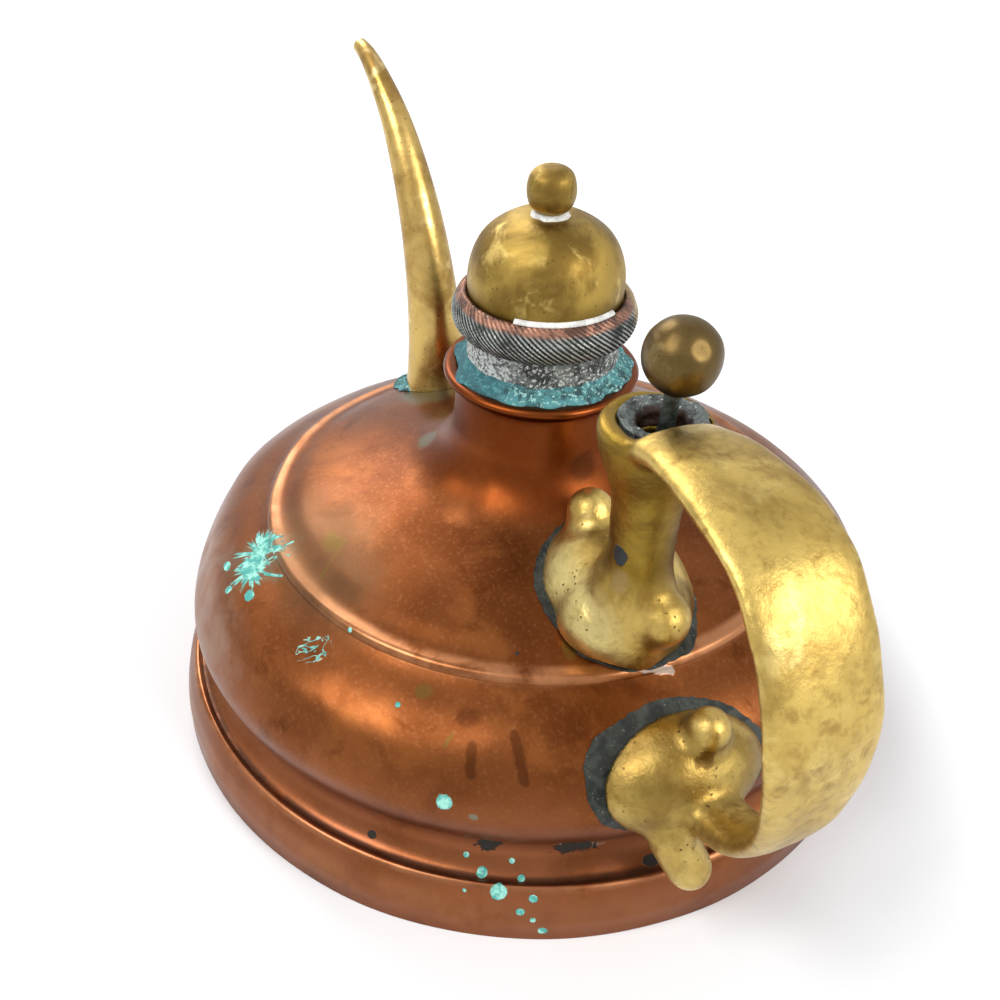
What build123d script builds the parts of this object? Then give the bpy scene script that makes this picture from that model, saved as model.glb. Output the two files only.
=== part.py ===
from build123d import *
import os
from math import cos, exp, radians, sin, tan

# A spun copper oil can with a brass screw cap, a curved brass spout, a cast brass handle
# and a thumb valve that lets air in. Millimetres, +Z up, origin at the middle of the foot's
# underside. The handle points along -X and the spout near +X.

# Copper sheet
copper_wall = 0.8
foot_radius = 63.5
foot_rim_height = 3.2
foot_step_height = 8.8
foot_step_radius = 62.1
foot_groove_radius = 60.2
foot_groove_height = 9.6
seam_radius = 57.0
seam_height = 15.0
belly_radius = 60.8
belly_height = 22.8
groove_radius = 46.7
groove_height = 37.2
bead_size = 1.3
neck_radius = 13.9
neck_foot_height = 55.0
neck_top_height = 61.8
lip_radius = 15.8
lip_rise = 1.7
bottom_height = 1.6
bottom_wall = 0.8

# Filler collar, its thread and the cap
collar_bore = 9.0
collar_band_radius = 12.3
collar_band_height = 6.0
collar_flange_radius = 14.4
collar_flange_height = 0.9
collar_spigot_length = 7.0
collar_solder_rise = 1.9
thread_root = 10.9
thread_depth = 0.7
thread_lead = 3.2
thread_base = 1.5
thread_land = 0.7
thread_height = 8.2
thread_runout = 1.1
thread_end_gap = 0.3
thread_clearance = 0.35
cap_ring_radius = 14.8
cap_ring_height = 6.3
cap_ring_gap = 0.4
cap_ring_shoulder = 12.8
dome_radius = 12.4
dome_wall = 0.7
dome_seat_height = 1.0
dome_side_height = 3.0
dome_rise = 10.4
gasket_height = 1.5
backing_height = 0.7
finial_radius = 3.8
finial_lift = 0.1
finial_washer_radius = 2.7
finial_washer_height = 0.9
stud_radius = 1.2
stud_head_radius = 2.6
stud_head_height = 0.9

# Spout
spout_swing = 10.0
spout_distance = 36.8
spout_reach = 67.6
spout_sink = 2.0
spout_height = 98.2
spout_split = 0.31
spout_wall = 0.7
spout_root_radius = 5.6
spout_tip_radius = 1.4
spout_tip_bore = 0.8
spout_taper = 1.35
spout_flare = 1.5
spout_flare_share = 0.06
spout_solder_width = 2.4
spout_solder_height = 2.1
spout_solder_sink = 3.0
spout_solder_lap = 0.8

# Handle casting
column_distance = 39.8
column_foot_radius = 7.6
column_waist_radius = 4.8
column_waist_height = 57.0
boss_radius = 8.2
boss_height = 77.6
boss_edge = 1.0
cup_radius = 6.1
cup_depth = 3.4
column_bore = 3.65
plate_distance = 32.6
plate_offset = -1.0
plate_slope = 17.0
plate_half_length = 14.6
plate_half_width = 12.5
plate_sink = 4.0
inner_lug_radius = 3.9
inner_lug_distance = 23.2
inner_lug_offset = 0.2
inner_lug_rise = 9.0
inner_lug_root = 1.8
inner_lug_length = 7.0
outer_lug_radius = 3.9
outer_lug_distance = 45.1
outer_lug_offset = -1.9
outer_lug_rise = 11.7
outer_lug_root = 3.6
outer_lug_length = 3.3
handle_swing = 3.2
strap_width = 17.0
strap_end_width = 12.0
strap_foot_width = 9.6
strap_side = 1.5
strap_thickness = 3.4
strap_edge = 1.3
strap_reach = 84.5
strap_reach_height = 57.0
strap_lap = 2.2
strap_start_drop = 1.2
strap_crown = 1.6
lower_foot_height = 27.6
lower_foot_radius = 10.4
lower_foot_half_width = 13.8
lower_foot_stand = 4.4
lower_foot_offset = -0.6
lower_lug_radius = 3.3
lower_lug_root = 1.8
lower_lug_offset = -2.6
lower_lug_rise = 9.0
stub_radius = 3.7
stub_reach = 65.75
stub_root = 7.6
stub_root_offset = 3.6
stub_offset = 1.5
stub_tip_height = 11.1
solder_height = 0.3
solder_margin = 1.0

# Thumb valve
rod_radius = 1.05
rod_clearance = 0.08
knob_radius = 5.3
knob_lift = 9.7
rod_lean = 5.0
rod_lean_heading = 248.5
rod_bend_clearance = 0.5
seat_face_height = 37.4
seat_flange_radius = 5.6
seat_top_height = 46.0
air_hole_radius = 0.7
air_hole_count = 3
washer_radius = 4.6
washer_height = 1.3
disc_radius = 4.8
disc_height = 1.0
nut_across_flats = 4.6
nut_height = 2.4
rod_tail = 1.0
ring_height = 2.4
ring_hole_radius = 3.3
spring_collar_radius = 3.45
spring_collar_height = 2.0
spring_height = 15.0
spring_radius = 2.6
spring_wire = 0.6
spring_turns = 8

# Fitting gaps between pieces
fit_gap = 0.05
face_gap = 0.02

# The shoulder between neck and bead: share out from the neck, share up to the neck's foot, heading
SHOULDER_POINTS = [(0.82, 0.12, 161), (0.50, 0.31, 165), (0.27, 0.445, 160), (0.11, 0.634, 137)]

# Heights and radii that follow from the sizes above
lip_height = neck_top_height + lip_rise + copper_wall
collar_band_low = lip_height + collar_flange_height
collar_shoulder = collar_band_low + collar_band_height
collar_top = collar_shoulder + thread_height
ring_bore = thread_root + thread_depth + thread_clearance
ring_low = collar_shoulder + cap_ring_gap
ring_high = ring_low + cap_ring_height
dome_low = ring_high - dome_seat_height
dome_spring = dome_low + dome_side_height
dome_top = dome_spring + dome_rise
gasket_low = collar_top + face_gap
backing_low = gasket_low + gasket_height + face_gap
finial_height = dome_top + finial_lift + finial_radius
column = (-column_distance, 0)
handle_turn = Pos(*column, 0) * Rot(0, 0, handle_swing) * Pos(column_distance, 0, 0)
cup_floor = boss_height - cup_depth
seat_radius = column_bore - fit_gap
spring_collar_low = seat_top_height + spring_height
washer_low = seat_face_height - face_gap - washer_height
disc_low = washer_low - disc_height
nut_low = disc_low - nut_height
knob_height = boss_height + knob_lift
rod_bend_height = spring_collar_low + spring_collar_height + rod_bend_clearance


def between(start, end, share):
    """The value a share of the way from start to end."""
    return start + (end - start) * share


def ring(outer, inner, low, high, centre=(0, 0)):
    """A plain ring, or a disc where inner is 0, between two heights."""
    profile = Circle(outer)
    if inner > 0:
        profile -= Circle(inner)
    return Pos(centre[0], centre[1], low) * extrude(profile, high - low)


def turned(*lines, centre=(0, 0)):
    """Revolve a closed outline of (radius, height) lines about a vertical axis."""
    section = make_face([Plane.XZ * line for line in lines])
    return Pos(centre[0], centre[1], 0) * revolve(section, Axis.Z)


def flow_place(point, inset):
    """Where flow puts one of its points."""
    radius, height, heading = point
    return (radius - inset * sin(radians(heading)), height + inset * cos(radians(heading)))


def flow(*points, inset=0.0):
    """A smooth line through (radius, height, heading) points, moved to its left by inset.

    Headings are in degrees from straight out. A line that climbs has the axis on its left.
    """
    places = [flow_place(point, inset) for point in points]
    tangents = [(cos(radians(point[2])), sin(radians(point[2]))) for point in points]
    return Spline(*places, tangents=tangents)


def sheet(outline, wall):
    """Revolve a wall of sheet metal whose outside is an outline."""
    outside = outline(0.0)
    inside = outline(wall)
    ends = [Line(outside[0] @ 0, inside[0] @ 0), Line(outside[-1] @ 1, inside[-1] @ 1)]
    return turned(*outside, *inside, *ends)


def filled(outline, grow=0.0):
    """Everything inside an outline, down to the height where it starts, grown by a margin."""
    lines = outline(-grow)
    start = lines[0] @ 0
    end = lines[-1] @ 1
    closing = [Line(end, (0, end.Y)), Line((0, end.Y), (0, start.Y)), Line((0, start.Y), start)]
    return turned(*lines, *closing)


def capsule(start, end, radius):
    """A round-ended bar between two points."""
    a = Vector(*start)
    b = Vector(*end)
    bar = Plane(a, z_dir=b - a) * extrude(Circle(radius), (b - a).length)
    return bar + Pos(*a) * Sphere(radius) + Pos(*b) * Sphere(radius)


def one(shape):
    """The largest solid of a shape, dropping slivers that a cut left."""
    return sorted(shape.solids(), key=lambda solid: solid.volume)[-1]


def write(name, shape):
    """Write one named piece."""
    shape.label = name
    export_step(shape, f"parts/{name}.step")


def body_outline(inset):
    """Outside of the copper body from the foot's seam up to the lip, moved in by inset."""
    crease = (groove_radius, groove_height, 150)
    bead_side = (groove_radius - bead_size * 0.3, groove_height + bead_size * 0.7, 125)
    bead_top = (groove_radius - bead_size, groove_height + bead_size, 178)
    shoulder = [
        (between(neck_radius, bead_top[0], out), between(bead_top[1], neck_foot_height, up), heading)
        for out, up, heading in SHOULDER_POINTS
    ]
    return [
        flow((seam_radius, seam_height, 38), (belly_radius, belly_height, 90),
             (between(groove_radius, belly_radius, 0.80), between(belly_height, groove_height, 0.49), 118),
             (between(groove_radius, belly_radius, 0.43), between(belly_height, groove_height, 0.81), 151),
             crease, inset=inset),
        ThreePointArc(flow_place(crease, inset), flow_place(bead_side, inset), flow_place(bead_top, inset)),
        flow(bead_top, *shoulder, (neck_radius + 0.4, neck_foot_height, 96), (neck_radius, neck_top_height, 90),
             (lip_radius, neck_top_height + lip_rise, 8), inset=inset),
    ]


def belly_outline(inset):
    """The lower of the copper body's two spun pieces: the belly and the bead that it ends in."""
    return body_outline(inset)[:2]


def shoulder_outline(inset):
    """The upper piece: shoulder, neck and turned-out lip."""
    return body_outline(inset)[2:]


def foot_outline(inset):
    """Outside of the foot, from the table up to the seam, moved in by inset."""
    groove = (foot_groove_radius, foot_groove_height, 175)
    rim_top = (foot_radius, foot_rim_height, 90)
    return [
        Line(flow_place((foot_radius, 0, 90), inset), flow_place(rim_top, inset)),
        flow(rim_top,
             (between(foot_radius, foot_step_radius, 0.36), between(foot_rim_height, foot_step_height, 0.54), 100),
             (foot_step_radius, foot_step_height, 112),
             (between(foot_step_radius, foot_groove_radius, 0.47), foot_groove_height + 0.3, 170),
             groove, inset=inset),
        flow(groove,
             (between(foot_groove_radius, seam_radius, 0.72), between(foot_groove_height, seam_height, 0.33), 128),
             (seam_radius, seam_height, 90), inset=inset),
    ]


def surface_height(distance):
    """Height of the shoulder's outside at a distance from the axis."""
    shoulder = body_outline(0.0)[2]
    low = 0.0
    high = 0.7
    for _ in range(30):
        middle = (low + high) / 2
        if (shoulder @ middle).X > distance:
            low = middle
        else:
            high = middle
    return (shoulder @ low).Y


def helix_ridge(root, crest, low, high, start_angle):
    """A thread ridge from root to crest, rising from low to high."""
    overlap = 0.1 if crest > root else -0.1
    path = Rot(0, 0, start_angle) * Pos(0, 0, low) * Helix(thread_lead, high - low, root)
    corners = [(root - overlap, -thread_base / 2), (crest, -thread_land / 2),
               (crest, thread_land / 2), (root - overlap, thread_base / 2)]
    section = Plane.XZ * make_face(Polyline(*corners, close=True))
    return sweep(Rot(0, 0, start_angle) * Pos(0, 0, low) * section, path=path, is_frenet=True)


def dome_section(inset):
    """Quarter outline of the dome, moved in by inset."""
    quarter = Pos(0, dome_spring) * Ellipse(dome_radius - inset, dome_rise - inset)
    quarter &= Pos(dome_radius / 2, dome_spring + dome_rise / 2) * Rectangle(dome_radius, dome_rise)
    side = Rectangle(dome_radius - inset, dome_spring - dome_low)
    return quarter + Pos((dome_radius - inset) / 2, (dome_low + dome_spring) / 2) * side


def spout_radius(share):
    """Outside radius of the spout at a share of its length."""
    taper = between(spout_root_radius, spout_tip_radius, share ** spout_taper)
    return taper + spout_flare * exp(-share / spout_flare_share)


def spout_loft(path, low, high, stations, inset):
    """A round solid along the spout between two shares of its path, moved in by inset(share)."""
    rounds = []
    for step in range(stations + 1):
        share = between(low, high, step / stations)
        plane = Plane(path @ share, x_dir=(0, 1, 0), z_dir=path % share)
        rounds.append(plane * Circle(spout_radius(share) - inset(share)))
    return loft(rounds)


def spout_bore_inset(share):
    """Wall of the spout at a share of its length."""
    return between(spout_wall, spout_tip_radius - spout_tip_bore, share)


def plate_solid(margin):
    """The upper bracket's oval foot as a whole ellipsoid, grown by a margin."""
    length = plate_half_length + margin
    width = plate_half_width + margin
    half = Ellipse(length, width) & Pos(0, width / 2) * Rectangle(2 * length, width)
    place = Pos(-plate_distance, plate_offset, surface_height(plate_distance)) * Rot(0, -plate_slope, 0)
    return place * Pos(0, 0, -plate_sink) * revolve(half, Axis.X)


def lower_foot_solid(margin):
    """The lower bracket's foot as a whole ellipsoid, grown by a margin."""
    width = lower_foot_half_width + margin
    radius = lower_foot_radius + margin
    half = Ellipse(width, radius) & Pos(0, radius / 2) * Rectangle(2 * width, radius)
    reach = belly_radius + lower_foot_stand - lower_foot_radius
    place = handle_turn * Pos(-reach, lower_foot_offset, lower_foot_height)
    return place * Rot(0, 0, 90) * revolve(half, Axis.X)


def lug(distance, offset, rise, radius, root, length):
    """A rounded lug whose top is a rise above the shoulder, from a root that is further from the neck."""
    centre = surface_height(distance) + rise - radius
    return capsule((-distance - root, offset, centre - length), (-distance, offset, centre), radius)


def rod_place(height):
    """Where the rod's axis is at a height: straight up the column, then leaning."""
    lean = max(0, height - rod_bend_height) * tan(radians(rod_lean))
    heading = radians(rod_lean_heading)
    return (column[0] + lean * cos(heading), column[1] + lean * sin(heading))


os.makedirs("parts", exist_ok=True)

# Copper body, foot and floor
core = filled(body_outline)
inner_core = filled(body_outline, -copper_wall)
soldered_core = filled(body_outline, solder_height)
foot_core = filled(foot_outline, solder_height)
swing = Rot(0, 0, spout_swing)
spout_hole = spout_root_radius - spout_wall
write("body_shell", sheet(belly_outline, copper_wall))
shoulder = sheet(shoulder_outline, copper_wall)
shoulder -= swing * ring(spout_hole, 0, groove_height, neck_top_height, (spout_distance, 0))
shoulder -= ring(column_bore, 0, seat_face_height, seat_top_height, column)
write("shoulder_shell", one(shoulder))
write("foot_ring", sheet(foot_outline, copper_wall))
floor_radius = foot_radius - copper_wall - fit_gap
write("bottom_plate", ring(floor_radius, 0, bottom_height, bottom_height + bottom_wall))

# Filler collar with its thread, and the solder that holds it
spigot_radius = neck_radius - copper_wall - fit_gap
spigot_low = lip_height - collar_spigot_length
collar = turned(Polyline(
    (collar_bore, spigot_low), (spigot_radius, spigot_low), (spigot_radius, lip_height),
    (collar_flange_radius, lip_height), (collar_flange_radius, collar_band_low),
    (collar_band_radius, collar_band_low), (collar_band_radius, collar_shoulder - 0.5),
    (collar_band_radius - 0.5, collar_shoulder), (thread_root, collar_shoulder), (thread_root, collar_top),
    (collar_bore, collar_top), close=True))
ridge_low = collar_shoulder + thread_runout
ridge_high = dome_low - thread_base / 2 - thread_end_gap
collar += helix_ridge(thread_root, thread_root + thread_depth, ridge_low, ridge_high, 0)
write("filler_collar", one(collar))
fillet_top = collar_band_low + collar_solder_rise
write("collar_solder", turned(
    Line((collar_band_radius, collar_band_low), (collar_flange_radius, collar_band_low)),
    ThreePointArc((collar_flange_radius, collar_band_low),
                  (collar_band_radius + 0.8, collar_band_low + 0.7), (collar_band_radius, fillet_top)),
    Line((collar_band_radius, fillet_top), (collar_band_radius, collar_band_low))))

# Screw cap: ring with its thread, dome, backing plate and cork
cap_ring = turned(
    Line((ring_bore, ring_low), (cap_ring_shoulder, ring_low)),
    ThreePointArc((cap_ring_shoulder, ring_low), (cap_ring_radius, between(ring_low, ring_high, 0.48)),
                  (cap_ring_shoulder, ring_high)),
    Polyline((cap_ring_shoulder, ring_high), (dome_radius + fit_gap, ring_high), (dome_radius + fit_gap, dome_low),
             (ring_bore, dome_low), (ring_bore, ring_low)))
inner_low = ring_low + thread_base / 2 + thread_end_gap
inner_high = dome_low - thread_base / 2 - thread_end_gap
inner_turn = 360 * (inner_low - ridge_low - thread_lead / 2) / thread_lead
cap_ring += helix_ridge(ring_bore, ring_bore - thread_depth, inner_low, inner_high, inner_turn)
write("cap_ring", one(cap_ring))
stud_hole = Pos(0, dome_top) * Rectangle(2 * stud_radius, 4 * dome_wall)
dome = revolve(Plane.XZ * (dome_section(0.0) - dome_section(dome_wall) - stud_hole), Axis.Z)
write("cap_dome", one(dome))
backing_radius = dome_radius - dome_wall - 0.3
write("cap_backing_plate", ring(backing_radius, 0, backing_low, backing_low + backing_height))
write("cap_gasket", ring(thread_root - 0.2, 0, gasket_low, gasket_low + gasket_height))

# Finial: ball, the pale ring at its foot, and the stud that holds it on the dome
stud_top = finial_height + finial_radius * 0.3
stud_head_top = dome_top - dome_wall
finial_sphere = Pos(0, 0, finial_height) * Sphere(finial_radius)
stud = ring(stud_radius, 0, stud_head_top, stud_top)
stud += ring(stud_head_radius, 0, stud_head_top - stud_head_height, stud_head_top)
write("finial_stud", one(stud - dome))
write("finial_ball", one(finial_sphere - ring(stud_radius, 0, dome_top - 1, stud_top)))
washer = ring(finial_washer_radius, stud_radius, dome_top - 0.4, dome_top + finial_washer_height)
washer -= revolve(Plane.XZ * dome_section(0.0), Axis.Z)
write("finial_washer", one(washer - finial_sphere))

# Spout, in two lengths that meet at a soldered joint
spout_foot = surface_height(spout_distance)
spout_points = [(0, 0), (0.01, 0.315), (0.198, 0.612), (0.52, 0.872), (0.77, 0.968), (1, 1)]
spout_path = Spline(
    *[(between(spout_distance, spout_reach, out), 0, between(spout_foot - spout_sink, spout_height, up))
      for out, up in spout_points], tangents=((-0.02, 0, 1), (1, 0, 0.16)))
socket_whole = spout_loft(spout_path, 0, spout_split, 4, lambda share: 0.0)
socket = socket_whole - spout_loft(spout_path, 0, spout_split, 4, spout_bore_inset)
write("spout_socket", one(swing * socket - core))
tube = spout_loft(spout_path, spout_split, 1, 8, lambda share: 0.0)
tube -= spout_loft(spout_path, spout_split, 1, 8, spout_bore_inset)
write("spout_tube", one(swing * tube))
spread = spout_radius(0.05) + spout_solder_width
spout_solder = Pos(spout_distance, 0, spout_foot - spout_solder_sink) * Cone(
    spread, spout_radius(0.05) - spout_solder_lap, spout_solder_sink + spout_solder_height,
    align=(Align.CENTER, Align.CENTER, Align.MIN))
write("spout_solder", one(swing * (spout_solder - socket_whole) - core))

# Upper bracket: boss, hollow column, oval foot and two lugs
rim = boss_height - boss_edge
column_solid = turned(
    flow((column_foot_radius, seat_face_height, 90), (column_foot_radius * 0.97, seat_top_height + 1, 100),
         (between(column_waist_radius, column_foot_radius, 0.45),
          between(seat_top_height, column_waist_height, 0.45), 114),
         (column_waist_radius, column_waist_height, 90),
         (between(column_waist_radius, boss_radius, 0.3), between(column_waist_height, rim, 0.55), 74),
         (boss_radius, rim, 88)),
    ThreePointArc((boss_radius, rim), (boss_radius - boss_edge * 0.3, rim + boss_edge * 0.72),
                  (boss_radius - boss_edge, boss_height)),
    Polyline((boss_radius - boss_edge, boss_height), (0, boss_height), (0, seat_face_height),
             (column_foot_radius, seat_face_height)), centre=column)
inner_lug = lug(inner_lug_distance, inner_lug_offset, inner_lug_rise, inner_lug_radius, inner_lug_root,
                inner_lug_length)
outer_lug = lug(outer_lug_distance, outer_lug_offset, outer_lug_rise, outer_lug_radius, -outer_lug_root,
                outer_lug_length)
bracket_solid = (column_solid + plate_solid(0) + inner_lug + outer_lug) - soldered_core
bracket = bracket_solid - ring(column_bore, 0, seat_face_height, boss_height, column)
cup = rod_place(cup_floor)
bracket -= ring(cup_radius, 0, cup_floor, boss_height, cup)
write("upper_bracket", one(bracket))
write("cup_ring", ring(cup_radius - fit_gap, ring_hole_radius, cup_floor, cup_floor + ring_height, cup))

# Lower bracket: round foot on the belly, a lug above and a stub below
lower_solid = lower_foot_solid(0)
lower_solid += handle_turn * capsule(
    (-belly_radius + lower_lug_radius, lower_lug_offset, lower_foot_height + lower_lug_radius),
    (-belly_radius + lower_lug_root, lower_lug_offset, lower_foot_height + lower_lug_rise), lower_lug_radius)
lower_solid += handle_turn * capsule(
    (-belly_radius - stub_radius / 3, stub_root_offset, lower_foot_height - stub_root),
    (-stub_reach, stub_offset, stub_tip_height + stub_radius), stub_radius)
lower_solid = one(lower_solid - soldered_core - foot_core)
write("lower_bracket", lower_solid)

# Strap from the boss round to the lower foot
strap_in = strap_reach - strap_thickness / 2
strap_start = column_distance + boss_radius - strap_lap
strap_points = [
    (strap_start, 0, boss_height - strap_start_drop),
    (between(strap_start, strap_in, 0.35), 0, boss_height + strap_crown),
    (between(strap_start, strap_in, 0.66), 0, boss_height - strap_crown / 4),
    (between(strap_start, strap_in, 0.87), 0, between(strap_reach_height, boss_height, 0.62)),
    (strap_in, strap_side * 0.2, strap_reach_height),
    (between(strap_start, strap_in, 0.94), strap_side * 0.8, between(lower_foot_height, strap_reach_height, 0.48)),
    (between(strap_start, strap_in, 0.78), strap_side, between(lower_foot_height, strap_reach_height, 0.12)),
    (belly_radius + strap_thickness / 2, strap_side * 0.6, lower_foot_height - strap_thickness * 0.6),
]
strap_path = Spline(*[(-out, -side, up) for out, side, up in strap_points],
                    tangents=((-1, 0, 0.55), (1, 0, -0.16)))
strap_stations = 12
strap_sections = []
for step in range(strap_stations + 1):
    share = step / strap_stations
    width = between(strap_width, strap_end_width, (1 - 2 * share) ** 4)
    if share > 0.5:
        width = between(strap_width, strap_foot_width, 2 * share - 1)
    plane = Plane(strap_path @ share, x_dir=(0, 1, 0), z_dir=strap_path % share)
    strap_sections.append(plane * RectangleRounded(width, strap_thickness, strap_edge))
strap = handle_turn * loft(strap_sections) - bracket_solid - lower_solid
strap -= ring(cup_radius, 0, cup_floor, boss_height + strap_thickness, cup)
write("handle_strap", one(strap))

# Solder under the two feet of the casting
skin = soldered_core - core
upper_bed = skin & plate_solid(solder_margin)
write("upper_solder_bed", one(upper_bed - ring(column_bore, 0, seat_face_height, seat_top_height, column)))
write("lower_solder_bed", one((skin & lower_foot_solid(solder_margin)) - foot_core))

# Thumb valve: the seat under the shoulder, and the rod with what is on it
seat = ring(seat_flange_radius, 0, seat_face_height, seat_top_height, column) & inner_core
seat += ring(seat_radius, 0, seat_face_height, seat_top_height, column)
seat -= ring(rod_radius + rod_clearance, 0, seat_face_height, seat_top_height, column)
air_hole_circle = (seat_radius + rod_radius) / 2
for turn in range(air_hole_count):
    place = Pos(*column, 0) * Rot(0, 0, turn * 360 / air_hole_count) * Pos(air_hole_circle, 0, 0)
    seat -= place * ring(air_hole_radius, 0, seat_face_height, seat_top_height)
write("valve_seat", one(seat))
rod_top = knob_height + knob_radius * 0.3
rod = ring(rod_radius, 0, nut_low - rod_tail, rod_bend_height, column)
rod += capsule((*column, rod_bend_height), (*rod_place(rod_top), rod_top), rod_radius)
write("valve_rod", rod)
write("valve_knob", one(Pos(*rod_place(knob_height), knob_height) * Sphere(knob_radius) - rod))
write("spring_collar", ring(spring_collar_radius, rod_radius, spring_collar_low,
                            spring_collar_low + spring_collar_height, column))
write("valve_washer", ring(washer_radius, rod_radius, washer_low, washer_low + washer_height, column))
write("valve_disc", ring(disc_radius, rod_radius, disc_low, disc_low + disc_height, column))
nut_profile = RegularPolygon(nut_across_flats / 2, 6, major_radius=False) - Circle(rod_radius)
write("valve_nut", Pos(*column, nut_low) * extrude(nut_profile, nut_height))

# Spring between the seat and the collar on the rod
spring_rise = spring_height - spring_wire - 2 * face_gap
spring_path = Pos(*column, seat_top_height + spring_wire / 2 + face_gap) * Helix(
    spring_rise / spring_turns, spring_rise, spring_radius)
spring_section = Plane(spring_path @ 0, z_dir=spring_path % 0) * Circle(spring_wire / 2)
write("valve_spring", sweep(spring_section, path=spring_path, is_frenet=True))
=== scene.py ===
# The looks of a spun copper oil can with brass fittings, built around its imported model.
# Sizes are named in millimetres and turned into metres where a mesh is made.
from math import atan2, cos, hypot, pi, radians, sin, tan

import bmesh
import bpy
from mathutils import Matrix, Vector, noise


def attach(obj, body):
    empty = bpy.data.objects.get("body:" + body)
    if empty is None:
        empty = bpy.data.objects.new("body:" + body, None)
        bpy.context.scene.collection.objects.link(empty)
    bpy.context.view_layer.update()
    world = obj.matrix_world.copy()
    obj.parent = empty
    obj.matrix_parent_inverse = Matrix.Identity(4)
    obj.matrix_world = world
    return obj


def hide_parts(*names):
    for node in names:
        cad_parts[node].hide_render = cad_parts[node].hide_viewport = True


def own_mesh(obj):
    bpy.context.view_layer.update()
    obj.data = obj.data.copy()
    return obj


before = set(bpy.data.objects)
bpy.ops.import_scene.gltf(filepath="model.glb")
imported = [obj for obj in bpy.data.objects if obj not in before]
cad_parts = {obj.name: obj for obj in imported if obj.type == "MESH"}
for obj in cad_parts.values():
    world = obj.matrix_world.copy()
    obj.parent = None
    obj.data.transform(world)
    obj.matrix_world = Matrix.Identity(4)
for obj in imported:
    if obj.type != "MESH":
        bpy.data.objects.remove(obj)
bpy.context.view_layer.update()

MM = 0.001
# Points nearer than this are merged
MERGE_REACH = 0.01

# Copper outlines: radius, height and heading, with a second heading where the metal is creased
FOOT_OUTLINE = [
    (63.5, 0.0, 90), (63.5, 3.2, 90), (63.0, 6.22, 100), (62.1, 8.8, 112), (61.2, 9.9, 170),
    (60.2, 9.6, 175), (57.9, 11.4, 128), (57.0, 15.0, 90),
]
BODY_OUTLINE = [
    (57.0, 15.0, 38), (60.8, 22.8, 90), (57.98, 29.86, 118), (52.76, 34.46, 151), (46.7, 37.2, 150, 100),
    (46.3, 38.1, 125), (45.4, 38.5, 178), (39.73, 40.48, 161), (29.65, 43.62, 165), (22.41, 45.84, 160),
    (17.37, 48.96, 137), (14.3, 55.0, 96), (13.9, 61.8, 90), (15.8, 63.5, 8),
]
COPPER_WALL = 0.8

# Heights and places of the fittings
COLUMN_X = -39.8
CUP_FLOOR = 74.2
CUP_RADIUS = 6.1
BORE_RADIUS = 3.9
PLATE_X = -32.6
PLATE_Y = -1.0
PLATE_TOP = 42.7
PLATE_SLOPE = 17.0
PLATE_SINK = 4.0
LOWER_FOOT = (-56.0, -0.4, 26.5)
HANDLE_SWING = 3.2
STRAP_SIDE = 1.5
COLUMN_SIDE = 0.7
KNOB_Z = 87.3
KNOB_RADIUS = 5.3
ROD_LOW = 31.68
ROD_RADIUS = 1.05
ROD_BEND = 63.5
ROD_LEAN = 5.0
ROD_LEAN_HEADING = 248.5
SPOUT_SWING = 10.0
SPOUT_FOOT_X = 36.8
SPRING_LOW = 46.0
SPRING_HIGH = 61.0


def deselect():
    """Leave nothing selected before a new piece is started."""
    bpy.ops.object.select_all(action="DESELECT")


def pick(piece):
    """Make one piece the only selected and active one."""
    deselect()
    piece.select_set(True)
    bpy.context.view_layer.objects.active = piece


def finish_with(piece, kind, **settings):
    """Put one modifier on a piece and apply it."""
    pick(piece)
    modifier = piece.modifiers.new(kind.title(), kind)
    for name, value in settings.items():
        setattr(modifier, name, value)
    bpy.ops.object.modifier_apply(modifier=modifier.name)


def edit_all(piece):
    """Go into edit mode on one piece with all of it selected."""
    pick(piece)
    bpy.ops.object.mode_set(mode="EDIT")
    bpy.ops.mesh.select_all(action="SELECT")


def leave_edit():
    """Go back to object mode."""
    bpy.ops.object.mode_set(mode="OBJECT")


def move(piece, shift):
    """Move a piece's mesh by a distance in millimetres."""
    piece.data.transform(Matrix.Translation(Vector(shift) * MM))


def from_axis(vertex):
    """A point's distance from the can's axis and its height, in millimetres."""
    return hypot(vertex.co.x, vertex.co.y) / MM, vertex.co.z / MM


def push_out(vertex, reach):
    """Move a point away from the can's axis by a distance in millimetres."""
    radius = from_axis(vertex)[0]
    vertex.co.x *= (radius + reach) / radius
    vertex.co.y *= (radius + reach) / radius


def round_off(piece, angle=40):
    """Smooth shading that keeps edges sharper than an angle."""
    pick(piece)
    bpy.ops.object.shade_smooth_by_angle(angle=radians(angle))


def merge_and_face_out(piece):
    """Close seams and poles and turn all faces outwards."""
    edit_all(piece)
    bpy.ops.mesh.remove_doubles(threshold=MERGE_REACH * MM)
    bpy.ops.mesh.normals_make_consistent(inside=False)
    leave_edit()


def way(heading):
    """Direction in the XZ plane of a heading in degrees from straight out."""
    return Vector((cos(radians(heading)), 0, sin(radians(heading))))


def moved_in(knot, inset):
    """A knot's place, moved to the left of its heading by inset."""
    heading = (knot[2] + knot[-1]) / 2
    return Vector((knot[0] - inset * sin(radians(heading)), 0, knot[1] + inset * cos(radians(heading))))


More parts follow.
